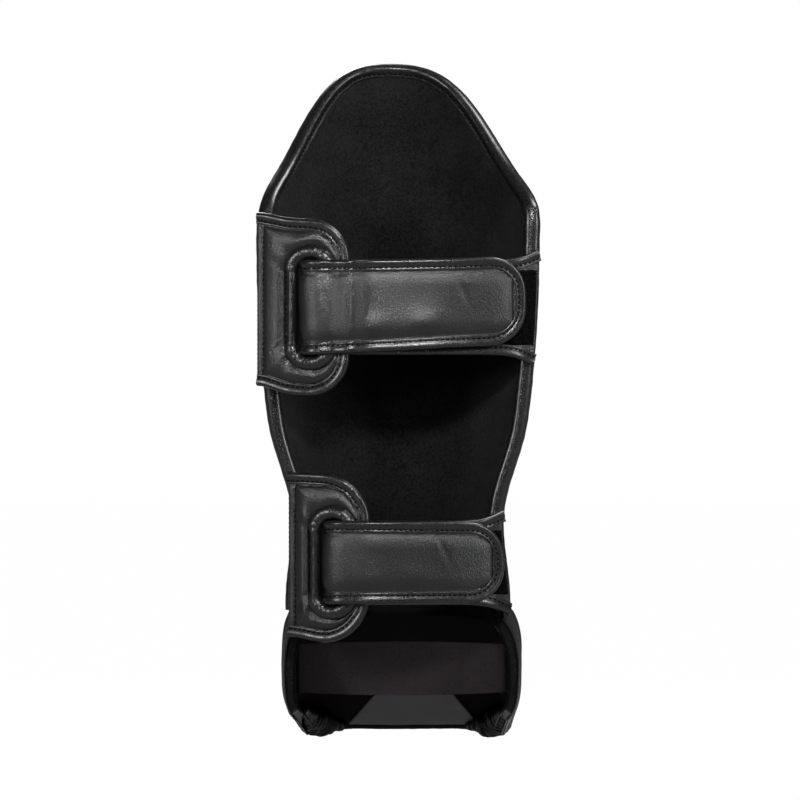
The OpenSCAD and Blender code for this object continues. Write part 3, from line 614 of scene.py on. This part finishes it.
    looped = np.concatenate([slot, slot[:1]])
    ring = respace(0.8, c.place(looped[:, 0], looped[:, 1], flap_core))[0][:-1]
    out = c.outward(ring)
    run = unit(np.roll(ring, -1, 0) - np.roll(ring, 1, 0))
    away = unit(np.cross(run, out))
    away *= np.sign((away * (ring - heart_at) * level).sum(1, keepdims=True))
    end = np.clip((np.abs(ring[:, 2] - c.strap_z) - slot_half + c.slot_wide * 0.55) / 4, 0, 1)
    beat = ((along_line(ring) + 1.2 * waves(ring, 3, 5.0)) / 1.9) % 1
    tuck = 1 - 0.17 * end * np.exp(-((beat - 0.5) / 0.14) ** 2) + 0.05 * waves(ring, 6, 3.3)
    width = 1 + 0.45 * end
    rings = ring[:, None] + away[:, None] * (rim_roll[None, :, :1] * width[:, None, None]) + out[:, None] * (
        rim_roll[None, :, 1:] * np.where(rim_roll[:, 1:] > 1.5, tuck[:, None, None], 1))
    rim = swept_piece(f"{c.word}_slot_roll", rings, rim_leather, closed=True, sharp=80)
    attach(rim, f"{c.word}_flap")
    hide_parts(f"{c.word}_slot_rim")

    cord_low, cord_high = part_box(f"{c.word}_flap_piping")
    cord_r = 500 * (cord_high.x - cord_low.x)
    cord_x, cord_y = 500 * (cord_high.x + cord_low.x) + 0.4, 500 * (cord_high.y + cord_low.y) + 0.5
    cord_z = np.linspace(free[0, 1] + 0.5, free[-1, 1] - 0.5, 90)
    turn = np.radians(np.arange(0, 360, 20))
    thick = cord_r * (1.28 + 0.05 * np.cos(cord_z * 2.1))
    rings = np.stack([cord_x + np.outer(thick, np.cos(turn)), cord_y + np.outer(thick, np.sin(turn)),
                      np.repeat(cord_z[:, None], len(turn), 1)], -1)
    piping = swept_piece(f"{c.word}_seam_piping", rings, tape_leather)
    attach(piping, f"{c.word}_flap")
    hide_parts(f"{c.word}_flap_piping")

    sewn = c.place(c.left + seam_row, np.linspace(c.low + 7, c.high - 7, 80), 7.1)
    inner_edge = edge + inward * flap_row + c.outward(edge) * flap_rise
    rim_line = ring + away * (rim_row * width)[:, None] + out * 1.1
    rim_line = np.concatenate([rim_line, rim_line[:1]])
    runs = [(line, c.outward(line)) for line in (sewn, inner_edge, rim_line)]
    thread = stitch_piece(f"{c.word}_flap_stitches", runs, black_thread)
    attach(thread, f"{c.word}_flap")


# Strap tails: each strap comes up through its slot, turns over the flap's bar and runs back
# to its own loop pile. Tape runs round the tip, and hook tape is sewn underneath.
hook_pile = pile_finish("hook_pile", (0.012, 0.012, 0.0124), size=0.8, depth=0.0006)
tail_section = tape_section(half=1.2, wide=6.2, bead=2.0, proud=0.95)
tip_r, tail_half, tail_row, tail_rise = 23, 0.9, 4.35, 1.5
turn_back, turn_under, turn_over = 5.9, 5.3, 11.0
turn_middle, turn_drop, turn_rise = 6.25, 5.35, 6.15
hook_from, hook_to, hook_in = 7.5, 61.5, 7.5
for c, narrowing, slack, seed, drape_r in (
        (upper, 0.06, 1.4, 5.2, [12.4, 10.2, 10.2, 12.5, 7.4, 5.6, 5.7]),
        (lower, 0.03, 0.6, 1.9, [12.4, 12.1, 11.9, 11.5, 9.4, 7.0, 5.8])):
    sweep_a = np.radians(np.linspace(-90, 90, 40))
    turn_x = c.fold - turn_back + np.where(sweep_a < 0, turn_under, turn_over) * (1 - np.cos(sweep_a))
    turn_r = turn_middle + np.where(sweep_a < 0, turn_drop, turn_rise) * np.sin(sweep_a)
    flat_x = np.linspace(c.fold - turn_back + turn_over, c.tip, 170)
    drape_x = [c.fold + 4, c.fold + 11, *(c.flap_end + past for past in (-7, 0.5, 12, 27, 45))]
    flat_r = smooth_line(drape_x, drape_r, flat_x)
    way = np.concatenate([c.place(turn_x, 0, turn_r)[:-1], c.place(flat_x, 0, flat_r)])
    way, = respace(0.9, way)
    soften(10, way)
    reach = along_line(way)
    run = unit(np.gradient(way, axis=0))
    out = np.stack([run[:, 1], -run[:, 0], np.zeros(len(run))], 1)
    out *= -np.sign(out[-1, 1])
    from_tip = reach[-1] - reach
    nose = c.strap_half - tip_r + np.sqrt(tip_r ** 2 - np.clip(tip_r - from_tip, 0, tip_r) ** 2)
    taper = 1 - narrowing * np.clip((way[:, 0] - c.fold) / 90, 0, 1)
    half = np.maximum(nose * taper, 0.5)
    centre_z = c.strap_z + c.tip_rise * np.clip((way[:, 0] - c.fold) / (c.tip - c.fold), 0, 1) ** 1.2
    t = np.linspace(-1, 1, 45)
    z = centre_z[:, None] + half[:, None] * t
    from_side = half[:, None] * (1 - np.abs(t))
    from_rim = np.minimum(from_side, from_tip[:, None])
    middle = np.repeat(way[:, None], len(t), 1)
    middle[..., 2] = z
    lift = tail_half + 1.3 * (1 - (1 - np.clip((from_rim - 7) / 9, 0, 1)) ** 2)
    lift -= 0.6 * np.exp(-((from_rim - 7.4) / 0.6) ** 2)
    lift += 0.6 * waves(middle, 24, seed) * np.clip(from_rim / 12, 0, 1)
    swell = sum(np.exp(-((middle[..., 0] - x) / wide) ** 2 - ((z - c.strap_z + below) / 7) ** 2)
                for x, wide, below in ((-17, 7.5, 11), (12, 10, 9)))
    past, beside = middle[..., 0] - c.tip + 38, z - c.strap_z - 10
    crease = np.exp(-((0.9 * past + 0.43 * beside) / 1.8) ** 2 - ((0.43 * past - 0.9 * beside) / 12) ** 2)
    lift += (slack * swell - 0.5 * crease) * np.clip(from_rim / 9, 0, 1)
    tail = sheet_piece(f"{c.word}_strap_leather", middle + out[:, None] * lift[..., None],
                       middle - out[:, None] * tail_half, strap_leather, 60)
    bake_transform(tail)
    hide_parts(f"{c.word}_strap_tail", f"{c.word}_strap_fold")

    def at(line, reach_z):
        points = way[line].copy()
        points[:, 2] = reach_z
        return points

    every = np.arange(len(way))
    rim_line = np.concatenate([at(every, centre_z - half), at(every[::-1], (centre_z + half)[::-1])])
    rim_out = np.concatenate([out, out[::-1]])
    rim_line, rim_out = respace(1.4, rim_line, rim_out)
    rim_out = unit(rim_out)
    soften(3, rim_line)
    run = unit(np.gradient(rim_line, axis=0))
    inward = unit(np.cross(rim_out, run))
    toward = at(every, centre_z)[np.abs(rim_line[:, None, 0] - way[None, :, 0]).argmin(1)] - rim_line
    inward *= np.where((inward * toward).sum(1) + 0.001 < 0, -1, 1)[:, None]
    flips = np.sign((inward[1:] * inward[:-1]).sum(1))
    inward *= np.concatenate([[1], np.cumprod(np.where(flips < 0, -1, 1))])[:, None]
    tape = swept_piece(
        f"{c.word}_tail_tape", tape_rings(rim_line, inward, rim_out, tail_section, 0.05, 7.5), tape_leather)
    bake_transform(tape)
    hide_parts(f"{c.word}_tail_binding")
    tail_line = rim_line + inward * tail_row + rim_out * tail_rise
    thread = stitch_piece(f"{c.word}_tail_stitches", [(tail_line, rim_out)], black_thread)
    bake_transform(thread)

    keep = (from_tip > hook_from) & (from_tip < hook_to)
    u = np.linspace(-1, 1, 60)
    hook_half = np.minimum(c.strap_half - hook_in, half[keep] - 7.0)
    seat = np.repeat(way[keep][:, None], len(u), 1)
    seat[..., 2] = centre_z[keep][:, None] + hook_half[:, None] * u
    prick = 0.25 * waves(seat, 0.9, 6.6)
    hooks = sheet_piece(f"{c.word}_hook_tape", seat - out[keep][:, None] * (2.1 + prick)[..., None],
                        seat - out[keep][:, None] * 0.85, hook_pile, 180)
    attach(hooks, f"{c.word}_tail")
    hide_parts(f"{c.word}_hook_patch")


# Instep pad: lining, foam and leather cover of the foot pad, arched over the foot and
# curled in under its sides. A lighter sheet inside the toe is painted light on the lining, and
# tape runs round every free edge and bunches at the toe corners; cover and tape hold painted shade.
def signed(x, power):
    return np.sign(x) * np.abs(x) ** power


foot_curl, arch_bow, arch_rise, foot_spread = 115, 0.37, 0.45, 1.8
arch_top_z, side_foot_z, toe_drop = 74, 17, 15.5
heel_y, heel_cut, toe_y, toe_round = -25, 52, 146, 20
foot_half, toe_in, toe_right, heel_narrow = 66.8, 7.8, 2.5, 0.055
front_y = heel_y + heel_cut


def instep_place(f, v, d):
    f, v, d = np.broadcast_arrays(np.asarray(f, float), np.asarray(v, float), np.asarray(d, float))
    drop = -abs(math.cos(math.radians(foot_curl))) ** arch_rise
    arch = (arch_top_z - side_foot_z) / (1 - drop)
    across = signed(np.sin(np.radians(f)), arch_bow)
    near = np.minimum(1, np.abs(across) * 66 / 60)
    heel = np.where(np.abs(f) > 90, heel_y, heel_y + heel_cut * np.sqrt(np.clip(1 - near ** 2, 0, None)))
    toe = toe_y - toe_round * across ** 4
    y = heel + (toe - heel) * v
    s = np.clip((y - front_y) / (toe - front_y), 0, None)
    h = arch * (1 - s)
    x = (foot_half - toe_in * s + d) * across + toe_right * s
    z = side_foot_z - toe_drop * s - h * drop + (h + d) * signed(np.cos(np.radians(f)), arch_rise)
    x = x * (1 - heel_narrow * np.clip((z - 46) / 26, 0, 1) * np.clip((45 - y) / 30, 0, 1))
    return np.stack([x, y, z], -1)


def toe_corner(points):
    return np.clip((points[..., 1] - 96) / 22, 0, 1) * np.clip((np.abs(points[..., 0] - 3) - 42) / 14, 0, 1)


def crumple(points, amount):
    shove = np.stack([waves(points, 6.5, seed) for seed in (1.1, 4.7, 8.2)], -1)
    return points + amount * toe_corner(points)[..., None] * shove


foot_lining = brushed_finish(
    "foot_lining", (0.002, 0.002, 0.0021), (0.0081, 0.0081, 0.0085), rough=0.8, sheen=0.0, gleam=0.1)
# The toe lining's lighter colour is painted light: it stands for the light that falls on the lining inside
# the toe.
toe_lining_painted_light = brushed_finish(
    "toe_lining_painted_light", (0.007, 0.007, 0.0073), (0.021, 0.021, 0.0218), rough=0.4, sheen=0.0, gleam=0.95)
foot_u = np.linspace(1, -1, 141)
foot_f, foot_v = np.meshgrid(foot_curl * signed(foot_u, foot_spread), np.linspace(0, 1, 101))
foot_v = foot_v + (1 - foot_v) * 0.035 * np.clip((np.abs(foot_u) - 0.86) / 0.14, 0, 1) ** 2
foot_edge, foot_rise, pad_crumple = 5.4, 9, 0.6
foot_seat = instep_place(foot_f, foot_v, 0)
foot_in = crumple(instep_place(foot_f, foot_v, -0.5 * waves(foot_seat, 24, 2.9)), pad_crumple)
foot_back = crumple(instep_place(foot_f, foot_v, lining_thick), pad_crumple)
instep_lining = sheet_piece("instep_lining", foot_in, foot_back, foot_lining, 60)
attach(instep_lining, "instep")
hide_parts("instep_liner")
panel_u, panel_v = np.meshgrid(np.linspace(1, -1, 81), np.linspace(0.4, 0.955, 61))
panel_x = 0.4 * panel_u
# The painted-light sheet's sides are straight, so its points are walked over the arch to their places.
for _ in range(60):
    panel_f = np.degrees(np.arcsin(np.clip(np.abs(panel_x), 0, 0.999) ** (1 / arch_bow))) * np.sign(panel_x)
    seat = instep_place(panel_f, panel_v, 0)
    panel_x = panel_x + 0.008 * (8 + panel_u * (46.3 - 0.89 * seat[..., 2]) - seat[..., 0])
ease = 0.35 * waves(seat, 18, 7.3)
# This sheet inside the toe lining carries that painted light.
toe_painted_light_panel = sheet_piece(
    "toe_painted_light_panel", instep_place(panel_f, panel_v, -1.5 - ease), instep_place(panel_f, panel_v, -0.7 - ease),
    toe_lining_painted_light, 60)
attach(toe_painted_light_panel, "instep")
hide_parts("instep_liner")
# The instep pad's cover leather is slightly darker than the shin's: painted shade for its dimly lit side
# walls.
foot_leather_painted_shade = leather_finish(
    "foot_leather_painted_shade", (0.0028, 0.0028, 0.003), (0.005, 0.005, 0.0053),
    rough=0.45, grain=1.2, depth=0.0008, gleam=0.3)
foot_swell = np.cos(np.radians(90 * foot_f / foot_curl)).clip(0) * np.sqrt(np.sin(np.pi * foot_v).clip(0))
foot_skin = foot_edge + foot_rise * foot_swell + 0.5 * waves(foot_seat, 30, 6.4) * np.sin(np.pi * foot_v)
instep_pad = sheet_piece(
    "instep_pad", crumple(instep_place(foot_f, foot_v, foot_skin), pad_crumple),
    crumple(instep_place(foot_f, foot_v, lining_thick + 0.1), pad_crumple), foot_leather_painted_shade, 70)
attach(instep_pad, "instep")
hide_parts("instep_foam", "instep_cover")

heel_f = foot_curl * signed(np.linspace(0.64, 1, 40), foot_spread)
side_v = np.linspace(0, 1, 120)[1:-1]
side_f = np.full_like(side_v, foot_curl)
toe_f = foot_curl * signed(np.linspace(1, -1, 160), foot_spread)
rim_f = np.concatenate([heel_f, side_f, toe_f, -side_f, -heel_f[::-1]])
rim_v = np.concatenate([0 * heel_f, side_v, np.ones_like(toe_f), side_v[::-1], 0 * heel_f])
rim_in, rim_out = respace(1.6, instep_place(rim_f, rim_v, 0), instep_place(rim_f, rim_v, foot_edge))
soften(12, rim_in, rim_out)
rim_middle = (rim_in + rim_out) / 2
rim_across = unit(rim_out - rim_in)
rim_run = unit(np.gradient(rim_middle, axis=0))
rim_inward = unit(np.cross(rim_run, rim_across))
rim_section = tape_section(half=2.8, wide=6.4, bead=2.2, proud=1.0)
drawn_in = 1 - 0.65 * toe_corner(rim_middle)[:, None]
tape_crumple = 0.5
instep_rings = tape_rings(rim_middle, rim_inward * drawn_in, rim_across, rim_section, 0.07, 9.3)
# The foot's tape is a darker copy of the tape leather: painted shade for the dimmer light low on the guard.
foot_tape_painted_shade = leather_finish(
    "foot_tape_painted_shade", (0.0015, 0.0015, 0.0016), (0.003, 0.003, 0.0032),
    rough=0.27, grain=0.9, depth=0.0002, gleam=0.2)
instep_tape = swept_piece("instep_tape", crumple(instep_rings, tape_crumple), foot_tape_painted_shade, sharp=60)
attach(instep_tape, "instep")
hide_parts("instep_binding")
rim_row_in, rim_rise = rim_middle + rim_inward * drawn_in * 4.5, rim_across * 3.1
instep_stitches = stitch_piece("instep_stitches", [
    (crumple(rim_row_in - rim_rise, tape_crumple), -rim_across),
    (crumple(rim_row_in + rim_rise, tape_crumple), rim_across)], black_thread)
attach(instep_stitches, "instep")
gather_way = np.array([
    (63, 40, 14.5), (62.5, 66, 11.5), (61, 90, 8.5), (58, 112, 6.5), (51, 127, 5), (40, 137, 3.0)])
for side, word in ((-1, "left"), (1, "right")):
    path, = respace(0.7, gather_way * np.array([side, 1, 1]) + np.array([toe_right, 0, 0]))
    soften(30, path)
    spot = along_line(path) / along_line(path)[-1]
    fat = smooth_line([0, 0.3, 0.6, 0.82, 1], [2.5, 5.5, 9.0, 9.0, 4.0], spot)
    run = unit(np.gradient(path, axis=0))
    flank = unit(np.cross(run, np.array([0, 0, 1.0])))
    rise = np.cross(flank, run)
    turn = np.radians(np.arange(0, 360, 7.5))
    ring = path[:, None] + fat[:, None, None] * (
        flank[:, None] * np.cos(turn)[None, :, None] + rise[:, None] * np.sin(turn)[None, :, None])
    beat = np.abs(np.sin(np.pi * (along_line(path)[:, None] / 5.2 + 0.9 * waves(ring, 13.0, 2.0 + side))))
    creased = 0.84 + 0.2 * beat + 0.22 * waves(ring, 8.0, 6.0)
    ring = path[:, None] + (ring - path[:, None]) * creased[..., None]
    forward = np.clip((ring[..., 1] - front_y) / 102, 0, 1)
    wall = 0.964 * (foot_half + 3.8 - toe_in * forward)
    ring[..., 0] = np.clip(ring[..., 0] - toe_right * forward, -wall, wall) + toe_right * forward
    # The toe gathers use the foot's darker tape, so they carry its painted shade too.
    gather = swept_piece(f"toe_gather_{word}", ring, foot_tape_painted_shade, sharp=180)
    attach(gather, "instep")
    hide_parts("instep_binding")


# Ankle gusset: a soft, gathered strip of leather and lining, sewn between the shin pad's
# lower edge and the instep pad, which lets the foot bend.
gusset_u = np.linspace(0.7, -0.7, 90)
gusset_f = foot_curl * signed(gusset_u, foot_spread)
gusset_x = signed(np.sin(np.radians(gusset_f)), arch_bow)
gusset_a = np.degrees(np.arcsin(0.999 * gusset_x / np.abs(gusset_x).max()))
low_in, low_out = (instep_place(gusset_f, 0.012, d) for d in (2.2, 4.6))
high_in, high_out = (shin_place(gusset_a, 0.006, d) for d in (2.4, 5.2))
climb = np.linspace(0, 1, 17)[:, None, None]
pleat = (1.1 * np.sin(np.linspace(0, 58, len(gusset_u)))[None, :] + 1.6) * np.sin(np.pi * climb[..., 0])
outer = low_out + (high_out - low_out) * climb
bulge = unit(outer * np.array([1, 1, 0]) + np.array([0, 30, 0]))
inner = low_in + (high_in - low_in) * climb + bulge * 0.4 * pleat[..., None]
cloth_low, cloth_high = instep_place(gusset_f, -0.018, -0.6), shin_place(gusset_a, 0.004, 0.9)
cloth = cloth_low + (cloth_high - cloth_low) * climb + bulge * 0.3 * pleat[..., None]
for word, front, back, finish, slot in (
        ("leather", outer + bulge * pleat[..., None], inner + bulge * 0.6, strap_leather, "leather"),
        ("lining", cloth, cloth + bulge * 0.5, foot_lining, "lining")):
    gusset = sheet_piece(f"ankle_gusset_{word}", front, back, finish, 70)
    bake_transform(gusset)
    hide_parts("ankle_gusset")


# Elastic band: a wide ribbed elastic that passes under the foot, with its ends turned
# forward along the side walls and sewn down under small leather tabs.
def elastic_finish(name, colour):
    finish, surface = start_finish(name, {
        "Roughness": 0.8, "Specular IOR Level": 0.3, "Sheen Weight": 0.12,
        "Sheen Tint": (0.9, 0.82, 0.86, 1)})
    place = add_node(finish, "TexCoord")
    rib = add_node(finish, "TexWave", {"Scale": 300, "Distortion": 0.6}, bands_direction="X")
    weave = add_node(finish, "TexNoise", {"Scale": 1000, "Detail": 3})
    cloud = add_node(finish, "TexNoise", {"Scale": 420})
    height = add_node(finish, "Math", {1: 0.22}, operation="MULTIPLY_ADD")
    mixed = add_node(finish, "Math", {1: 1.0}, operation="MULTIPLY_ADD")
    tone = add_ramp(finish, 0.8, [c * 0.3 for c in colour], 1.0, [c * 1.9 for c in colour])
    bump = add_node(finish, "Bump", {"Strength": 0.5, "Distance": 0.0003})
    join(
        finish, *((place.outputs["Object"], texture.inputs["Vector"]) for texture in (rib, weave, cloud)),
        (rib.outputs["Fac"], height.inputs[0]), (weave.outputs["Fac"], height.inputs[2]),
        (height.outputs[0], mixed.inputs[0]), (cloud.outputs["Fac"], mixed.inputs[2]),
        (mixed.outputs[0], tone.inputs["Fac"]), (tone.outputs["Color"], surface.inputs["Base Color"]),
        (height.outputs[0], bump.inputs["Height"]), (bump.outputs["Normal"], surface.inputs["Normal"]))
    return finish


ribbed_elastic = elastic_finish("ribbed_elastic", (0.0098, 0.0074, 0.009))
band_low, band_high = (1000 * np.array(p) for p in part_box("sole_elastic"))
tab_low, tab_high = (1000 * np.array(p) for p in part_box("elastic_tabs"))
reach_x, lean = band_high[0], math.tan(math.radians(30))
band_half, tab_wide = 0.78, 9.4
end_y, under_x = np.linspace(0.8, 11.8, 14), np.linspace(-reach_x, reach_x, 180)
line_x = np.concatenate([np.full_like(end_y, -reach_x), under_x, np.full_like(end_y, reach_x)])
line_y = np.concatenate([end_y[::-1], np.zeros_like(under_x), end_y])
line, = respace(0.8, np.stack([line_x, line_y, 0 * line_x], 1))
soften(4, line)
run = unit(np.gradient(line, axis=0))
facing = np.stack([run[:, 1], -run[:, 0], 0 * run[:, 0]], 1)
down = np.linspace(0, 1, 42)
tall = band_high[2] - band_low[2]
bow = 1 - (line[:, :1] / reach_x) ** 2
band = np.repeat(line[:, None], len(down), 1)
band[..., 2] = band_high[2] - tall * down + (1 - down) * (1.6 * bow - 1.0) + down * (0.9 - 1.9 * bow)
band[..., 1] += band_low[1] + 0.8 + lean * (tall * down) + 0.5 * waves(band, 26, 3.7)
selvedge = 0.16 * np.exp(-((np.minimum(down, 1 - down) * tall - 2.2) / 0.5) ** 2)
fat = band_half - selvedge
elastic = sheet_piece("sole_elastic_band", band + facing[:, None] * fat[None, :, None],
                      band - facing[:, None] * fat[None, :, None], ribbed_elastic, 60)
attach(elastic, "instep")
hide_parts("sole_elastic")
for side, word in ((-1, "left"), (1, "right")):
    d, w = np.meshgrid(np.linspace(0, 1, 30), np.linspace(0, 1, 10), indexing="ij")
    tab_z = tab_high[2] - (tab_high[2] - tab_low[2]) * d
    tab_y = tab_low[1] + 0.6 + lean * (tab_high[2] - tab_z) + w * tab_wide
    puff = 0.5 * np.sin(np.pi * w) * np.sin(np.pi * d)
    puff += 0.15 * waves(np.stack([w * 9, d * 30, d], -1), 4, 2.0)
    inner = np.stack([side * (tab_high[0] - 1.2 - puff), tab_y, tab_z], -1)
    outer = np.stack([np.full_like(tab_y, side * (tab_high[0] + 0.1)), tab_y, tab_z], -1)
    tab = sheet_piece(f"elastic_tab_{word}", inner, outer, tape_leather)
    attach(tab, "instep")
    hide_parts("elastic_tabs")


# Studio: a floor that is grey in the light it throws back and white to the camera, a white
# surround, soft lamps in front, at both sides, overhead and behind, and a long lens level
# with the middle of the guard.
floor_finish, floor_surface = start_finish(
    "pale_floor", {"Base Color": (0.22, 0.22, 0.22, 1), "Roughness": 0.9})
glow = add_node(floor_finish, "Emission", {"Strength": 1.1})
rays = add_node(floor_finish, "LightPath")
seen = add_node(floor_finish, "Math", {1: 0.9}, operation="MULTIPLY")
share = add_node(floor_finish, "Math", {1: 0.25}, operation="MULTIPLY_ADD")
mixer = add_node(floor_finish, "MixShader")
join(
    floor_finish, (rays.outputs["Is Camera Ray"], seen.inputs[0]),
    (rays.outputs["Is Glossy Ray"], share.inputs[0]), (seen.outputs[0], share.inputs[2]),
    (share.outputs[0], mixer.inputs["Fac"]), (floor_surface.outputs["BSDF"], mixer.inputs[1]),
    (glow.outputs["Emission"], mixer.inputs[2]),
    (mixer.outputs["Shader"], floor_finish.node_tree.nodes["Material Output"].inputs["Surface"]))
floor_mesh = bpy.data.meshes.new("floor")
floor_half = 30
floor_mesh.from_pydata([
    (-floor_half, -floor_half, 0), (floor_half, -floor_half, 0), (floor_half, floor_half, 0),
    (-floor_half, floor_half, 0)], [], [(0, 1, 2, 3)])
floor_mesh.materials.append(floor_finish)
floor = put_in_scene("floor", floor_mesh)
floor.location.z = cad_low.z - 0.0005

world = bpy.data.worlds.new("white_surround")
bpy.context.scene.world = world
world.use_nodes = True
surround = world.node_tree.nodes["Background"]
surround.inputs["Color"].default_value = (1, 1, 1, 1)
rays = add_node(world, "LightPath")
seen = add_node(world, "MapRange", {"To Min": 0.08, "To Max": 1.0})
join(
    world, (rays.outputs["Is Camera Ray"], seen.inputs["Value"]),
    (seen.outputs["Result"], surround.inputs["Strength"]))

for word, spot, size, power, aim_z, spread in (
        ("key", (0.1, -1.1, 0.86), (0.3, 0.12), 1.35, 0.28, 60),
        ("left", (-1.05, -1.0, 0.55), (0.14, 0.4), 8.5, 0.2, 180),
        ("front", (-0.34, -1.5, 0.6), (0.05, 0.3), 0.09, 0.32, 26),
        ("right", (1.2, -0.8, 0.6), (0.12, 0.6), 9, 0.2, 180),
        ("over", (0.68, 0.0, 1.3), (0.45, 0.45), 13, 0.2, 180),
        ("behind", (-0.3, 1.5, 1.3), (0.5, 0.5), 12, 0.2, 180)):
    lamp = bpy.data.lights.new(f"lamp_{word}", "AREA")
    lamp.shape = "RECTANGLE"
    lamp.size, lamp.size_y = size
    lamp.energy = power
    lamp.spread = math.radians(spread)
    holder = put_in_scene(f"lamp_{word}", lamp)
    holder.location = spot
    holder.rotation_euler = (Vector((0, 0, aim_z)) - Vector(spot)).to_track_quat("-Z", "Y").to_euler()

camera = bpy.data.cameras.new("camera")
lens_to_pad, picture_wide = 11.96, 0.496
camera.sensor_width = 36
camera.lens = camera.sensor_width * lens_to_pad / picture_wide
camera.clip_end = 100
camera_holder = put_in_scene("camera", camera)
camera_holder.location = (-0.00093, -12.0, 0.2077)
camera_holder.rotation_euler = (math.radians(90), 0, 0)
bpy.context.scene.camera = camera_holder
bpy.context.scene.view_settings.view_transform = "Standard"
